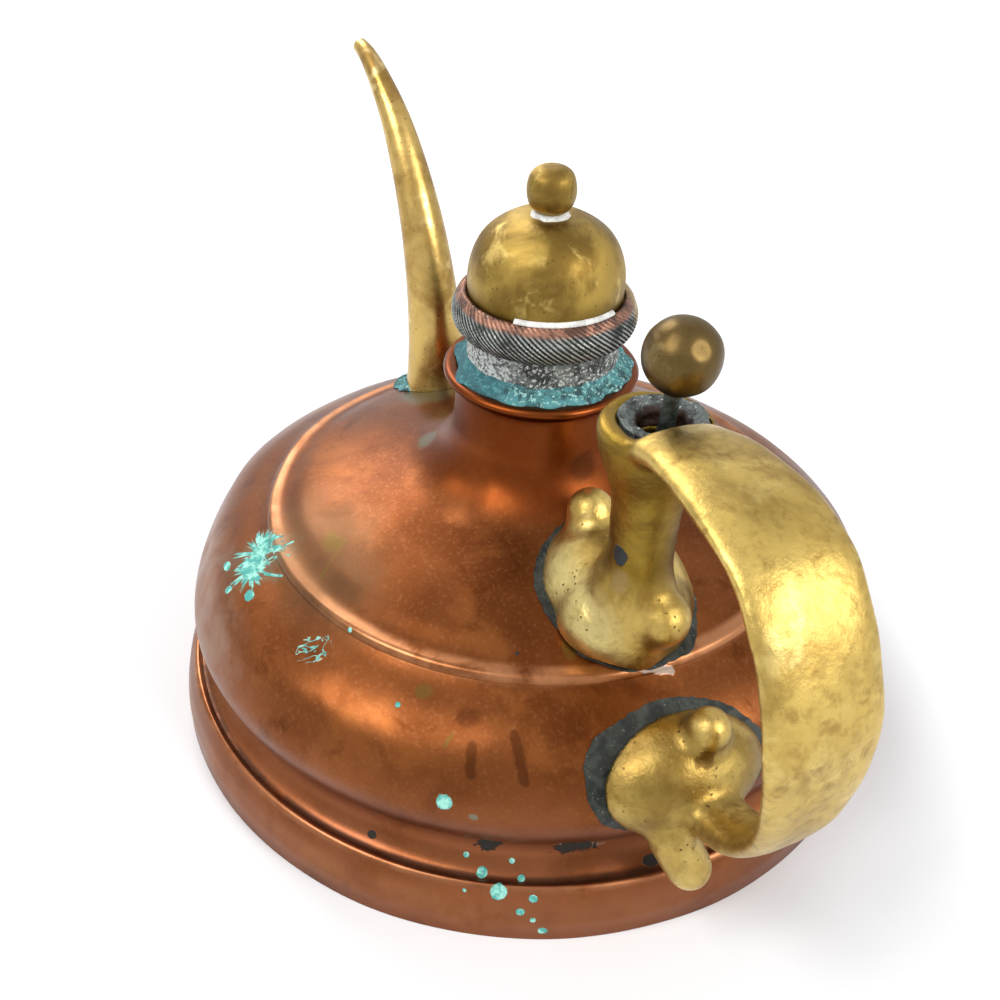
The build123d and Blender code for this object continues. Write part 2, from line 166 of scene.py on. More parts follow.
def draw_outline(name, knots, closed=False, inset=0.0, fineness=7, centre_x=0.0):
    """An outline through knots in the XZ plane, as a mesh of edges."""
    deselect()
    bpy.ops.curve.primitive_bezier_curve_add(location=(0, 0, 0))
    outline = bpy.context.object
    outline.name = name
    spline = outline.data.splines[0]
    spline.bezier_points.add(len(knots) - 2)
    spline.use_cyclic_u = closed
    outline.data.resolution_u = fineness
    places = [moved_in(knot, inset) for knot in knots]
    for index, knot in enumerate(knots):
        point = spline.bezier_points[index]
        before = places[index - 1] if index or closed else places[index]
        after = places[(index + 1) % len(knots)] if index + 1 < len(knots) or closed else places[index]
        place = places[index]
        point.handle_left_type = "FREE"
        point.handle_right_type = "FREE"
        shift = Vector((centre_x, 0, 0))
        point.co = (place + shift) * MM
        point.handle_left = (place + shift - way(knot[2]) * (place - before).length / 3) * MM
        point.handle_right = (place + shift + way(knot[-1]) * (after - place).length / 3) * MM
    bpy.ops.object.convert(target="MESH")
    return outline


def turned(name, knots, closed=False, sides=96, inset=0.0, fineness=7, centre_x=0.0):
    """A piece turned on the lathe from an outline."""
    piece = draw_outline(name, knots, closed, inset, fineness, centre_x)
    edit_all(piece)
    bpy.ops.mesh.spin(steps=sides, angle=2 * pi, center=(centre_x * MM, 0, 0), axis=(0, 0, 1))
    leave_edit()
    merge_and_face_out(piece)
    return piece


def straight(*corners):
    """Knots of an outline with straight runs between its corners."""
    knots = []
    for index, (radius, height) in enumerate(corners):
        last = corners[index - 1]
        following = corners[(index + 1) % len(corners)]
        heading_in = atan2(height - last[1], radius - last[0]) * 180 / pi
        heading_out = atan2(following[1] - height, following[0] - radius) * 180 / pi
        knots.append((radius, height, heading_in, heading_out))
    return knots


def push_along_normals(piece, distance_at):
    """Move each point along its normal by a distance in millimetres that depends on its place."""
    normals = [vertex.normal.copy() for vertex in piece.data.vertices]
    for vertex, normal in zip(piece.data.vertices, normals):
        vertex.co += normal * distance_at(vertex.co) * MM
    piece.data.update()


def shake(piece, reach, grain, seed=0.0):
    """Move each point a little by smooth noise, as hand work does."""
    shift = Vector((seed, seed * 1.7, seed * 0.3))
    push_along_normals(piece, lambda place: reach * noise.noise(place / (grain * MM) + shift))


def dent(piece, centre, reach, depth):
    """Press a shallow hollow into a skin."""
    middle = Vector(centre) * MM

    def hollow(place):
        return -depth * max(0, 1 - ((place - middle).length / (reach * MM)) ** 2) ** 2

    push_along_normals(piece, hollow)


def ring_frame(centre, heading, half_width, half_depth):
    """Matrix that puts a unit circle across a bar at a place in the XZ plane."""
    along = way(heading)
    up = Vector((-along.z, 0, along.x))
    across = Vector((0, 1, 0))
    columns = Matrix((across * half_width * MM, up * half_depth * MM, along * MM)).transposed().to_4x4()
    return Matrix.Translation(Vector((centre[0], 0, centre[1])) * MM) @ columns


def drawn_bar(name, rings, sides, squareness=2.0):
    """A bar extruded through rings of (x, z, heading, half width, half depth)."""
    deselect()
    bpy.ops.mesh.primitive_circle_add(vertices=sides, radius=1.0, fill_type="NGON")
    bar = bpy.context.object
    bar.name = name
    for vertex in bar.data.vertices:
        reach = (abs(vertex.co.x) ** squareness + abs(vertex.co.y) ** squareness) ** (-1 / squareness)
        vertex.co *= reach
    frames = [ring_frame(ring[:2], *ring[2:]) for ring in rings]
    bar.data.transform(frames[0])
    edit_all(bar)
    for last, following in zip(frames, frames[1:]):
        bpy.ops.mesh.extrude_region_move()
        mesh = bmesh.from_edit_mesh(bar.data)
        change = following @ last.inverted()
        for vertex in mesh.verts:
            if vertex.select:
                vertex.co = change @ vertex.co
        bmesh.update_edit_mesh(bar.data)
    leave_edit()
    merge_and_face_out(bar)
    return bar


def bezier_rings(knots, share_width, share_depth, fineness):
    """Rings along a smooth line through (x, z, heading) knots, sized by their share of its length."""
    places = []
    for first, second in zip(knots, knots[1:]):
        start = Vector((first[0], 0, first[1]))
        end = Vector((second[0], 0, second[1]))
        reach = (end - start).length / 3
        inner = start + way(first[2]) * reach
        outer = end - way(second[2]) * reach
        for step in range(fineness):
            share = step / fineness
            rest = 1 - share
            place = start * rest ** 3 + inner * 3 * rest ** 2 * share
            place += outer * 3 * rest * share ** 2 + end * share ** 3
            slope = (inner - start) * rest ** 2 + (outer - inner) * 2 * rest * share
            slope += (end - outer) * share ** 2
            places.append((place, atan2(slope.z, slope.x) * 180 / pi))
    last = knots[-1]
    places.append((Vector((last[0], 0, last[1])), last[2]))
    lengths = [0.0]
    for first, second in zip(places, places[1:]):
        lengths.append(lengths[-1] + (second[0] - first[0]).length)
    rings = []
    for (place, heading), length in zip(places, lengths):
        share = length / lengths[-1]
        rings.append((place.x, place.z, heading, share_width(share), share_depth(share)))
    return rings


def egg(name, centre, half_sizes, lean=0.0):
    """An egg-shaped lump with three half sizes, leaned about the Y axis."""
    deselect()
    bpy.ops.mesh.primitive_uv_sphere_add(segments=48, ring_count=32, radius=1.0)
    lump = bpy.context.object
    lump.name = name
    sizes = Matrix.Diagonal((*(size * MM for size in half_sizes), 1))
    turn = Matrix.Rotation(radians(lean), 4, "Y")
    lump.data.transform(Matrix.Translation(Vector(centre) * MM) @ turn @ sizes)
    return lump


def round_bar(name, start, end, radius):
    """A bar with round ends between two places."""
    bar = egg(name, (0, 0, 0), (radius, radius, radius))
    along = (Vector(end) - Vector(start)) * MM
    for vertex in bar.data.vertices:
        if vertex.co.z > 0.01 * MM:
            vertex.co.z += along.length
    turn = along.to_track_quat("Z", "Y").to_matrix().to_4x4()
    bar.data.transform(Matrix.Translation(Vector(start) * MM) @ turn)
    return bar


def cut_away(piece, cutter):
    """Cut one closed shape out of another."""
    finish_with(piece, "BOOLEAN", operation="DIFFERENCE", solver="EXACT", object=cutter)


def throw_away(*pieces):
    """Remove shapes that were only used to make others."""
    for piece in pieces:
        bpy.data.objects.remove(piece)


def cast_together(name, parts, voxel, fillet, softness):
    """Melt closed shapes into one casting whose inner corners are filled round."""
    deselect()
    for part in parts:
        part.select_set(True)
    bpy.context.view_layer.objects.active = parts[0]
    bpy.ops.object.join()
    casting = bpy.context.object
    casting.name = name
    for growth in (fillet, -fillet):
        finish_with(casting, "REMESH", mode="VOXEL", voxel_size=voxel * MM, adaptivity=0)
        finish_with(casting, "DISPLACE", strength=growth * MM, mid_level=0)
    finish_with(casting, "SMOOTH", factor=0.5, iterations=softness)
    finish_with(casting, "REMESH", mode="VOXEL", voxel_size=voxel * MM, adaptivity=0)
    finish_with(casting, "SMOOTH", factor=0.5, iterations=softness)
    return casting


# Copper body and foot
LIP_ROLL = [(15.4, 63.2, 28), (16.0, 64.1, 92), (15.3, 64.75, 172), (13.6, 64.6, 190)]
copper_body = turned("copper_body", BODY_OUTLINE[:-1] + LIP_ROLL, sides=224, fineness=8)
shake(copper_body, 0.22, 16, seed=3.1)
# Dents: place, reach and depth
for centre, reach, depth in [
    ((-9.0, 17.0, 47.5), 6.0, 0.5), ((-20.0, 47.0, 35.0), 11.0, 0.35), ((-44.0, 30.0, 34.5), 9.0, 0.3),
    ((20.0, 56.0, 28.0), 27.0, 1.1),
]:
    dent(copper_body, centre, reach, depth)
finish_with(copper_body, "SOLIDIFY", thickness=COPPER_WALL * MM, offset=-1)
copper_foot = turned("copper_foot", FOOT_OUTLINE, sides=224, fineness=7)
shake(copper_foot, 0.18, 14, seed=8.4)
finish_with(copper_foot, "SOLIDIFY", thickness=COPPER_WALL * MM, offset=-1)

# Shapes that cut the castings so that they sit on the copper
body_cutter = turned("body_cutter", [(0, 15.0, 0), (57.0, 15.0, 0, 38), *BODY_OUTLINE[1:], (0, 63.5, 180)],
                     sides=128, inset=-0.15, fineness=5)
bore_cutter = turned("bore_cutter", straight((0, 20.0), (BORE_RADIUS, 20.0), (BORE_RADIUS, 90.0), (0, 90.0)),
                     sides=48, fineness=2, centre_x=COLUMN_X)
cup_cutter = turned("cup_cutter", straight((0, CUP_FLOOR), (CUP_RADIUS, CUP_FLOOR), (CUP_RADIUS + 0.5, 90.0),
                                           (0, 90.0)), sides=64, fineness=2, centre_x=COLUMN_X)


def rod_shift(height):
    """How far the leaning rod has gone sideways at a height, in millimetres."""
    lean = max(0, height - ROD_BEND) * tan(radians(ROD_LEAN))
    heading = radians(ROD_LEAN_HEADING)
    return Vector((lean * cos(heading), lean * sin(heading), 0))


move(cup_cutter, rod_shift(CUP_FLOOR))

# Handle casting: column, oval foot, lugs, strap, lower foot and stub in one
column = turned("column", [
    (0.0, 37.0, 0), (7.0, 37.0, 0, 90), (6.9, 45.0, 98), (5.9, 50.95, 112), (4.8, 57.0, 90),
    (5.82, 67.8, 74), (8.2, 76.6, 88), (7.9, 77.4, 130), (7.2, 77.6, 180), (0.0, 77.6, 180),
], sides=64, fineness=6, centre_x=COLUMN_X)
slope = radians(PLATE_SLOPE)
plate_centre = (PLATE_X + PLATE_SINK * sin(slope), PLATE_Y, PLATE_TOP - PLATE_SINK * cos(slope))
plate = egg("plate", plate_centre, (14.6, 12.5, 12.5), lean=-PLATE_SLOPE)
plate_crown = egg("plate_crown", (-37.5, 0.3, 42.0), (8.8, 10.8, 8.0))
inner_lug = round_bar("inner_lug", (-25.0, 0.2, 43.7), (-23.2, 0.2, 50.7), 3.9)
outer_lug = round_bar("outer_lug", (-41.5, -1.9, 43.1), (-45.1, -1.9, 46.4), 4.3)
lower_foot = egg("lower_foot", LOWER_FOOT, (9.2, 13.8, 9.2))
lower_lug = round_bar("lower_lug", (-57.5, -2.6, 31.3), (-59.0, -2.6, 36.6), 3.3)
stub = round_bar("stub", (-63.2, 3.6, 20.5), (-65.3, 1.6, 15.8), 3.6)
STRAP_LINE = [
    (-44.7, 77.0, 164), (-50.5, 78.9, 168), (-58.7, 79.5, 179), (-70.2, 77.2, 205), (-78.0, 69.8, 238),
    (-82.6, 57.0, 267), (-80.6, 41.9, 288), (-74.7, 31.2, 309), (-67.5, 26.8, 339), (-61.0, 25.3, 350),
]
STRAP_TOP_HALF = 6.8
STRAP_WIDENING = 1.7
STRAP_NARROWING = 3.8
STRAP_HALF_DEPTH = 1.75
STRAP_TOP_SWELL = 0.6
STRAP_FOOT_SWELL = 1.2


def strap_width(share):
    """Half width of the strap along its length."""
    widened = min(1, share / 0.2)
    narrowed = max(0, min(1, (share - 0.5) / 0.34))
    return STRAP_TOP_HALF + STRAP_WIDENING * widened - STRAP_NARROWING * narrowed ** 2 * (3 - 2 * narrowed)


def strap_depth(share):
    """Half thickness of the strap along its length."""
    top = max(0, 1 - share / 0.08)
    foot = max(0, (share - 0.85) / 0.15)
    return STRAP_HALF_DEPTH + STRAP_TOP_SWELL * top + STRAP_FOOT_SWELL * foot


strap = drawn_bar("strap", bezier_rings(STRAP_LINE, strap_width, strap_depth, 7), sides=40,
                  squareness=2.5)


def lean_aside(part, reach, top, drop):
    """Move a part along Y, from nothing at a height to its full reach a drop below."""
    for vertex in part.data.vertices:
        vertex.co.y += reach * MM * max(0, min(1, (top - vertex.co.z / MM) / drop))


lean_aside(strap, -STRAP_SIDE, 60, 22)
lean_aside(column, COLUMN_SIDE, 57, 10)
column_place = Matrix.Translation(Vector((COLUMN_X, 0, 0)) * MM)
handle_turn = column_place @ Matrix.Rotation(radians(HANDLE_SWING), 4, "Z") @ column_place.inverted()
for part in (lower_foot, lower_lug, stub, strap):
    part.data.transform(handle_turn)
upper_parts = [column, plate, plate_crown, inner_lug, outer_lug]
for part in upper_parts:
    cut_away(part, bore_cutter)
cut_away(column, cup_cutter)
for part in upper_parts + [lower_foot, lower_lug, strap]:
    cut_away(part, body_cutter)
handle_casting = cast_together("handle_casting", upper_parts + [lower_foot, lower_lug, stub, strap],
                               voxel=0.42, fillet=1.2, softness=5)
shake(handle_casting, 0.25, 6, seed=1.3)

# Spout
SPOUT_LINE = [
    (SPOUT_FOOT_X, 37.4, 91), (36.9, 47.0, 88), (38.0, 57.0, 81), (40.9, 68.0, 71), (44.6, 76.6, 62),
    (51.0, 86.5, 52), (57.6, 92.9, 38), (67.3, 98.1, 9),
]
SPOUT_ROOT = 5.6
SPOUT_TAPER = 4.2
SPOUT_FLARE = 1.4
SPOUT_LOWER_WALL = 0.7
SPOUT_UPPER_WALL = 0.55


def spout_half(share):
    """Outside radius of the spout at a share of its length."""
    return SPOUT_ROOT - SPOUT_TAPER * share ** 1.35 + SPOUT_FLARE * 2.718 ** (-share / 0.05)


# The ring at which the lower length of the spout ends and the upper begins
SPOUT_JOINT = 19
spout_rings = bezier_rings(SPOUT_LINE, spout_half, spout_half, 8)
swing = Matrix.Rotation(radians(SPOUT_SWING), 4, "Z")


def open_tube(name, rings, wall):
    """A tube with both ends open and a wall turned inwards."""
    tube = drawn_bar(name, rings, sides=40)
    edit_all(tube)
    mesh = bmesh.from_edit_mesh(tube.data)
    for face in mesh.faces:
        face.select_set(len(face.verts) > 4)
    bmesh.update_edit_mesh(tube.data)
    bpy.ops.mesh.delete(type="ONLY_FACE")
    leave_edit()
    finish_with(tube, "SOLIDIFY", thickness=wall * MM, offset=-1)
    tube.data.transform(swing)
    return tube


spout_lower = open_tube("spout_lower", spout_rings[:SPOUT_JOINT + 1], SPOUT_LOWER_WALL)
spout_upper = open_tube("spout_upper", spout_rings[SPOUT_JOINT:], SPOUT_UPPER_WALL)
cut_away(spout_lower, body_cutter)

# Solder round the foot of the spout
spout_fillet = turned("spout_fillet", [
    (6.2, 37.0, 0), (9.6, 36.4, 60), (8.6, 39.9, 130), (6.3, 41.6, 110), (5.0, 42.4, 180), (5.0, 37.0, 270),
], closed=True, sides=72, centre_x=SPOUT_FOOT_X)
shake(spout_fillet, 0.9, 3.4, seed=5.0)
spout_fillet.data.transform(swing)
cut_away(spout_fillet, body_cutter)
throw_away(body_cutter, bore_cutter, cup_cutter)

# Filler collar with its thread, and the crusted solder round it
THREAD_LOW = 72.2
THREAD_HIGH = 78.6
THREAD_LEAD = 3.2
THREAD_DEPTH = 0.7
THREAD_INSIDE = 10.5
filler_collar = turned("filler_collar", [
    (9.0, 57.5, 0), (13.0, 57.5, 0, 90), (13.0, 64.3, 90, 0), (13.5, 64.3, 0, 90), (13.5, 65.2, 90, 180),
    (12.5, 65.4, 180, 90), (12.2, 68.3, 90), (12.4, 71.0, 90), (12.0, 71.4, 180), (10.9, 71.5, 180, 90),
    (10.9, 73.0, 90), (10.9, 74.5, 90), (10.9, 76.0, 90), (10.9, 77.5, 90), (10.9, 79.1, 90),
    (10.6, 79.4, 180), (9.0, 79.4, 180, 270),
], closed=True, sides=132, fineness=8)
for vertex in filler_collar.data.vertices:
    radius, height = from_axis(vertex)
    if radius > THREAD_INSIDE and THREAD_LOW < height < THREAD_HIGH:
        turn = atan2(vertex.co.y, vertex.co.x) / (2 * pi)
        phase = abs(((height - THREAD_LOW) / THREAD_LEAD - turn) % 1 - 0.5) * 2
        fade = min(1, (height - THREAD_LOW) / 0.5, (THREAD_HIGH - height) / 0.5)
        push_out(vertex, THREAD_DEPTH * fade * min(1, max(0, (1 - phase) * 2.6 - 0.55)))
    elif radius > 11.8 and 65.3 < height < 71.3:
        push_out(vertex, noise.noise(vertex.co * 900) * 0.12 + noise.noise(vertex.co * 330) * 0.16)
CRUST_LOW = 64.5
CRUST_ROOT = 12.6
collar_crust = turned("collar_crust", [
    (12.2, 64.4, 0), (14.2, 64.5, 30), (14.5, 64.95, 110), (13.5, 65.7, 165), (12.7, 66.4, 130),
    (12.2, 67.1, 180, 270),
], closed=True, sides=160, fineness=6)
for vertex in collar_crust.data.vertices:
    if vertex.co.z > CRUST_LOW * MM:
        vertex.co.z += (noise.noise(vertex.co * 420) * 0.3 + noise.noise(vertex.co * 1100) * 0.12) * MM
        push_out(vertex, noise.noise(vertex.co * 260) * max(0, from_axis(vertex)[0] - CRUST_ROOT) * 0.7)

# Cap: knurled ring, dome, finial and the chalky residue in its corners
KNURLS = 92
KNURL_MIDDLE = 74.0
# Radians that a knurl turns in a millimetre of height
KNURL_LEAN = 0.085
cap_ring = turned("cap_ring", [
    (11.95, 71.6, 0), (12.9, 71.6, 0), (13.9, 72.1, 50), (14.75, 73.9, 84), (14.6, 75.6, 112),
    (13.8, 77.3, 140), (13.1, 77.85, 165), (12.55, 77.7, 240), (12.5, 76.9, 270, 180),
    (11.95, 76.9, 180, 270),
], closed=True, sides=KNURLS * 6, fineness=5)
for vertex in cap_ring.data.vertices:
    radius, height = from_axis(vertex)
    if radius > 13.0 and height < 76.9:
        fade = max(0, min(1, (radius - 13.0) / 0.9, (height - 71.9) / 0.7, (76.5 - height) / 0.8))
        turn = atan2(vertex.co.y, vertex.co.x) + (height - KNURL_MIDDLE) * KNURL_LEAN
        ridge = abs(sin(turn * KNURLS / 2)) - 0.6
        depth = 0.34 * (0.8 + 0.5 * noise.noise(vertex.co * 300))
        push_out(vertex, ridge * depth * fade)
DOME_WALL = 0.7
cap_dome = turned("cap_dome", [
    (12.35, 76.9, 90), (12.4, 79.6, 90), (12.05, 82.6, 104), (10.1, 86.9, 128), (6.7, 89.4, 153),
    (2.4, 90.35, 176), (0.0, 90.4, 180),
], sides=144, fineness=8)
shake(cap_dome, 0.12, 7, seed=2.2)
finish_with(cap_dome, "SOLIDIFY", thickness=DOME_WALL * MM, offset=-1)
finial_ball = turned("finial_ball", [
    (0.0, 90.5, 0), (1.9, 90.7, 20), (3.35, 92.0, 66), (3.8, 94.2, 90), (3.45, 96.3, 112),
    (2.1, 97.6, 150), (0.0, 97.9, 180),
], sides=72, fineness=7)
shake(finial_ball, 0.16, 3.2, seed=6.0)
finial_residue = turned("finial_residue", [
    (0.6, 90.15, 0), (3.1, 89.9, 20), (2.9, 90.6, 120), (2.3, 91.0, 140), (0.6, 90.95, 180, 270),
], closed=True, sides=72, fineness=6)
shake(finial_residue, 0.25, 1.1, seed=4.0)
RESIDUE_START = 212
RESIDUE_SPAN = 76
RESIDUE_STEPS = 60
groove_residue = draw_outline("groove_residue", [
    (12.3, 77.4, 0), (13.0, 77.75, 40), (13.0, 78.15, 120), (12.5, 78.5, 160), (12.3, 78.3, 260),
], closed=True, fineness=4)
edit_all(groove_residue)
bpy.ops.mesh.edge_face_add()
bpy.ops.transform.rotate(value=-radians(RESIDUE_START), orient_axis="Z", center_override=(0, 0, 0))
bpy.ops.mesh.spin(steps=RESIDUE_STEPS, angle=radians(RESIDUE_SPAN), center=(0, 0, 0), axis=(0, 0, 1))
leave_edit()
merge_and_face_out(groove_residue)

# Ring in the cup, thumb knob and rod
cup_ring = turned("cup_ring", [
    (3.5, CUP_FLOOR, 0), (5.9, CUP_FLOOR, 0, 90), (6.0, 77.0, 90), (6.1, 77.6, 120), (5.5, 77.75, 180),
    (4.4, 77.3, 195), (3.7, 76.7, 230), (3.4, 75.8, 270),
], closed=True, sides=96, fineness=7, centre_x=COLUMN_X)
shake(cup_ring, 0.35, 1.3, seed=9.0)
cup_move = rod_shift(CUP_FLOOR) + Vector((0.7, -0.2, 0))
move(cup_ring, cup_move)
CUP_HOLE = (COLUMN_X + cup_move.x, cup_move.y, 0)
knob_low = KNOB_Z - KNOB_RADIUS * 0.97
valve_knob = turned("valve_knob", [
    (0.0, knob_low, 0), (1.6, knob_low + 0.1, 14), (4.45, KNOB_Z - 2.95, 55), (KNOB_RADIUS, KNOB_Z, 90),
    (4.45, KNOB_Z + 2.95, 125), (2.0, KNOB_Z + 4.95, 158), (0.0, KNOB_Z + 5.25, 180),
], sides=96, fineness=10, centre_x=COLUMN_X)
dent(valve_knob, (COLUMN_X - 4.2, 0.0, KNOB_Z + 3.0), 1.5, 0.22)
shake(valve_knob, 0.1, 3.0, seed=7.0)
move(valve_knob, rod_shift(KNOB_Z))
valve_rod = turned("valve_rod", [
    (0.0, ROD_LOW, 0), (ROD_RADIUS, ROD_LOW, 0, 90), (ROD_RADIUS, 60.0, 90), (ROD_RADIUS + 0.12, 80.0, 90),
    (ROD_RADIUS + 0.2, 82.6, 90), (ROD_RADIUS, 88.8, 90, 180), (0.0, 88.86, 180),
], sides=32, fineness=10, centre_x=COLUMN_X)
shake(valve_rod, 0.1, 1.4, seed=2.0)
for vertex in valve_rod.data.vertices:
    vertex.co += rod_shift(vertex.co.z / MM) * MM

# Spring inside the column
deselect()
bpy.ops.curve.primitive_bezier_curve_add(location=(0, 0, 0))
valve_spring = bpy.context.object
valve_spring.name = "spring_coils"
valve_spring.data.splines.clear()
coils = valve_spring.data.splines.new("NURBS")
SPRING_TURNS = 8
POINTS_A_TURN = 12
COIL_RADIUS = 2.6
WIRE_RADIUS = 0.3
SPRING_END = 0.35
coils.points.add(SPRING_TURNS * POINTS_A_TURN)
for index, point in enumerate(coils.points):
    turn = 2 * pi * index / POINTS_A_TURN
    climb = index / (SPRING_TURNS * POINTS_A_TURN)
    height = SPRING_LOW + SPRING_END + (SPRING_HIGH - SPRING_LOW - 2 * SPRING_END) * climb
    point.co = ((COLUMN_X + COIL_RADIUS * cos(turn)) * MM, COIL_RADIUS * sin(turn) * MM, height * MM, 1)
coils.use_endpoint_u = True
coils.order_u = 4
valve_spring.data.bevel_depth = WIRE_RADIUS * MM
valve_spring.data.bevel_resolution = 2
valve_spring.data.use_fill_caps = True
bpy.ops.object.convert(target="MESH")
valve_spring = bpy.context.object


# Solder patches under the two feet of the casting
SOLDER_WALL = 0.4
SOLDER_STAND = 0.03
SOLDER_CELLS = 54


def solder_patch(name, centre, half_sizes, margins, lean, seed):
    """A ragged skin of solder laid on the copper round a foot of the casting."""
    deselect()
    bpy.ops.mesh.primitive_grid_add(x_subdivisions=SOLDER_CELLS, y_subdivisions=SOLDER_CELLS, size=2.0)
    patch = bpy.context.object
    patch.name = name
    for vertex in patch.data.vertices:
        turn = atan2(vertex.co.y, vertex.co.x)
        reach = max(abs(vertex.co.x), abs(vertex.co.y))
        margin = margins(turn) + 0.7 * noise.noise(Vector((cos(turn) * 2.6, sin(turn) * 2.6, seed)))
        margin += 0.35 * noise.noise(Vector((cos(turn) * 9, sin(turn) * 9, seed + 4)))
        grown = reach ** 3 * margin
        vertex.co.x = cos(turn) * (half_sizes[0] * reach + grown)
        vertex.co.y = sin(turn) * (half_sizes[1] * reach + grown)
    patch.data.transform(Matrix.Translation(Vector(centre) * MM) @ Matrix.Rotation(radians(lean), 4, "Y")
                         @ Matrix.Scale(MM, 4))
    finish_with(patch, "SHRINKWRAP", target=copper_body, wrap_method="NEAREST_SURFACEPOINT",
                wrap_mode="OUTSIDE_SURFACE", offset=SOLDER_STAND * MM)
    merge_and_face_out(patch)
    finish_with(patch, "SOLIDIFY", thickness=SOLDER_WALL * MM, offset=0)
    shake(patch, 0.2, 1.6, seed=seed)
    return patch


def upper_margin(turn):
    """How far the solder shows beyond the upper foot, wider towards +Y and the neck."""
    return 0.7 + 1.0 * max(0, cos(turn - radians(75))) ** 2


def lower_margin(turn):
    """How far the solder shows beyond the lower foot, wider above and towards +Y."""
    return 0.9 + 2.5 * max(0, cos(turn - radians(50)))


upper_solder = solder_patch("upper_solder", (PLATE_X - 0.8, PLATE_Y, PLATE_TOP), (13.8, 11.2), upper_margin,
                            -PLATE_SLOPE, 2.0)
lower_solder = solder_patch("lower_solder", (-58.7, -1.5, 28.2), (11.0, 12.8), lower_margin, -64, 7.0)

# What each piece stands for and rides on, and the finish it takes
PIECES = [
    (copper_body, "can", "aged_copper", ["body_shell", "shoulder_shell"]),
    (copper_foot, "can", "aged_copper", ["foot_ring"]),
    (handle_casting, "can", "cast_brass", ["upper_bracket", "lower_bracket", "handle_strap"]),
    (spout_lower, "can", "spout_brass", ["spout_socket"]),
    (spout_upper, "can", "spout_brass", ["spout_tube"]),
    (spout_fillet, "can", "verdigris_solder", ["spout_solder"]),
    (filler_collar, "can", "collar_brass", ["filler_collar"]),
    (collar_crust, "can", "verdigris_solder", ["collar_solder"]),
    (upper_solder, "can", "solder", ["upper_solder_bed"]),
    (lower_solder, "can", "solder", ["lower_solder_bed"]),
    (cup_ring, "can", "solder", ["cup_ring"]),
    (valve_spring, "can", "spring_steel", ["valve_spring"]),
    (cap_ring, "cap", "knurled_brass", ["cap_ring"]),
    (cap_dome, "cap", "dull_brass", ["cap_dome"]),
    (finial_ball, "cap", "dull_brass", ["finial_ball"]),
    (finial_residue, "cap", "solder", ["finial_washer"]),
    (groove_residue, "cap", "solder", []),
    (valve_knob, "valve", "dull_brass", ["valve_knob"]),
    (valve_rod, "valve", "valve_brass", ["valve_rod"]),
]
for piece, body, slot, nodes in PIECES:
    round_off(piece)
    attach(piece, body)
    if nodes:
        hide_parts(*nodes)
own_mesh(valve_spring)


# Shader groups
class Mix:
    """A node tree that is being wired up."""

    def __init__(self, tree):
        self.tree = tree

    def feed(self, made, *links):
        """Link or set each (socket, source) pair on a node."""
        for socket, source in links:
            if isinstance(source, bpy.types.NodeSocket):
                self.tree.links.new(source, made.inputs[socket])
            else:
                made.inputs[socket].default_value = source

    def node(self, kind, *links, **settings):
        """Add a node, set its properties and plain values, and link (socket, source) pairs."""
        made = self.tree.nodes.new(kind)
        for name, value in settings.items():
            setattr(made, name, value)
        self.feed(made, *links)
        return made

    def math(self, operation, *terms, clamp=False):
        """The result of a sum on values."""
        made = self.node("ShaderNodeMath", *enumerate(terms), operation=operation, use_clamp=clamp)
        return made.outputs[0]

    def vector(self, operation, *terms):
        """The result of a sum on vectors."""
        made = self.node("ShaderNodeVectorMath", *enumerate(terms), operation=operation)
        return made.outputs["Value" if operation in ("LENGTH", "DISTANCE", "DOT_PRODUCT") else "Vector"]

    def step(self, value, low, high, to_low=0.0, to_high=1.0):
        """A smooth step of a value between two limits."""
        made = self.node("ShaderNodeMapRange", ("Value", value), ("From Min", low), ("From Max", high),
                         ("To Min", to_low), ("To Max", to_high), interpolation_type="SMOOTHSTEP")
        return made.outputs["Result"]

    def noise(self, place, scale, detail=4.0, roughness=0.55, distortion=0.0):
        """Cloudy noise at a place."""
        made = self.node("ShaderNodeTexNoise", ("Vector", place), ("Scale", scale), ("Detail", detail),
                         ("Roughness", roughness), ("Distortion", distortion))
        return made.outputs

    def fold(self, operation, values):
        """One sum over a row of values, from the first to the last."""
        result = values[0]
        for value in values[1:]:
            result = self.math(operation, result, value)
        return result

    def share(self, mask, amount):
        """A weaker mask."""
        return self.math("MULTIPLY", mask, amount)

    def both(self, *masks):
        """Where all of several masks are white."""
        return self.fold("MULTIPLY", masks)

    def band(self, value, centre, reach):
        """White within a reach of a value, in millimetres."""
        off = self.math("ABSOLUTE", self.math("SUBTRACT", value, centre * MM))
        return self.step(off, reach * MM, reach * MM * 0.25)

    def blend(self, mask, below, above):
        """One colour over another where a mask is white."""
        made = self.node("ShaderNodeMix", ("Factor", mask), data_type="RGBA")
        for socket, tone in ((6, below), (7, above)):
            self.feed(made, (socket, tone if isinstance(tone, bpy.types.NodeSocket) else (*tone, 1)))
        return made.outputs[2]

    def most(self, *masks):
        """The strongest of several masks."""
        return self.fold("MAXIMUM", masks)

    def total(self, *values):
        """Several values added up."""
        return self.fold("ADD", values)


class Group(Mix):
    """A shader group that takes a place and named sockets and gives a mask."""

    def __init__(self, name, *sockets):
        group = bpy.data.node_groups.new(name, "ShaderNodeTree")
        for socket, value in (("Vector", None), *sockets):
            kind = "NodeSocketVector" if value is None else "NodeSocketFloat"
            made = group.interface.new_socket(name=socket, in_out="INPUT", socket_type=kind)
            if value is not None:
                made.default_value = value
        group.interface.new_socket(name="Mask", in_out="OUTPUT", socket_type="NodeSocketFloat")
        super().__init__(group)
        self.given = self.node("NodeGroupInput").outputs

    def give(self, mask):
        """Put the mask out and give the finished group."""
        self.node("NodeGroupOutput", ("Mask", mask))
        return self.tree


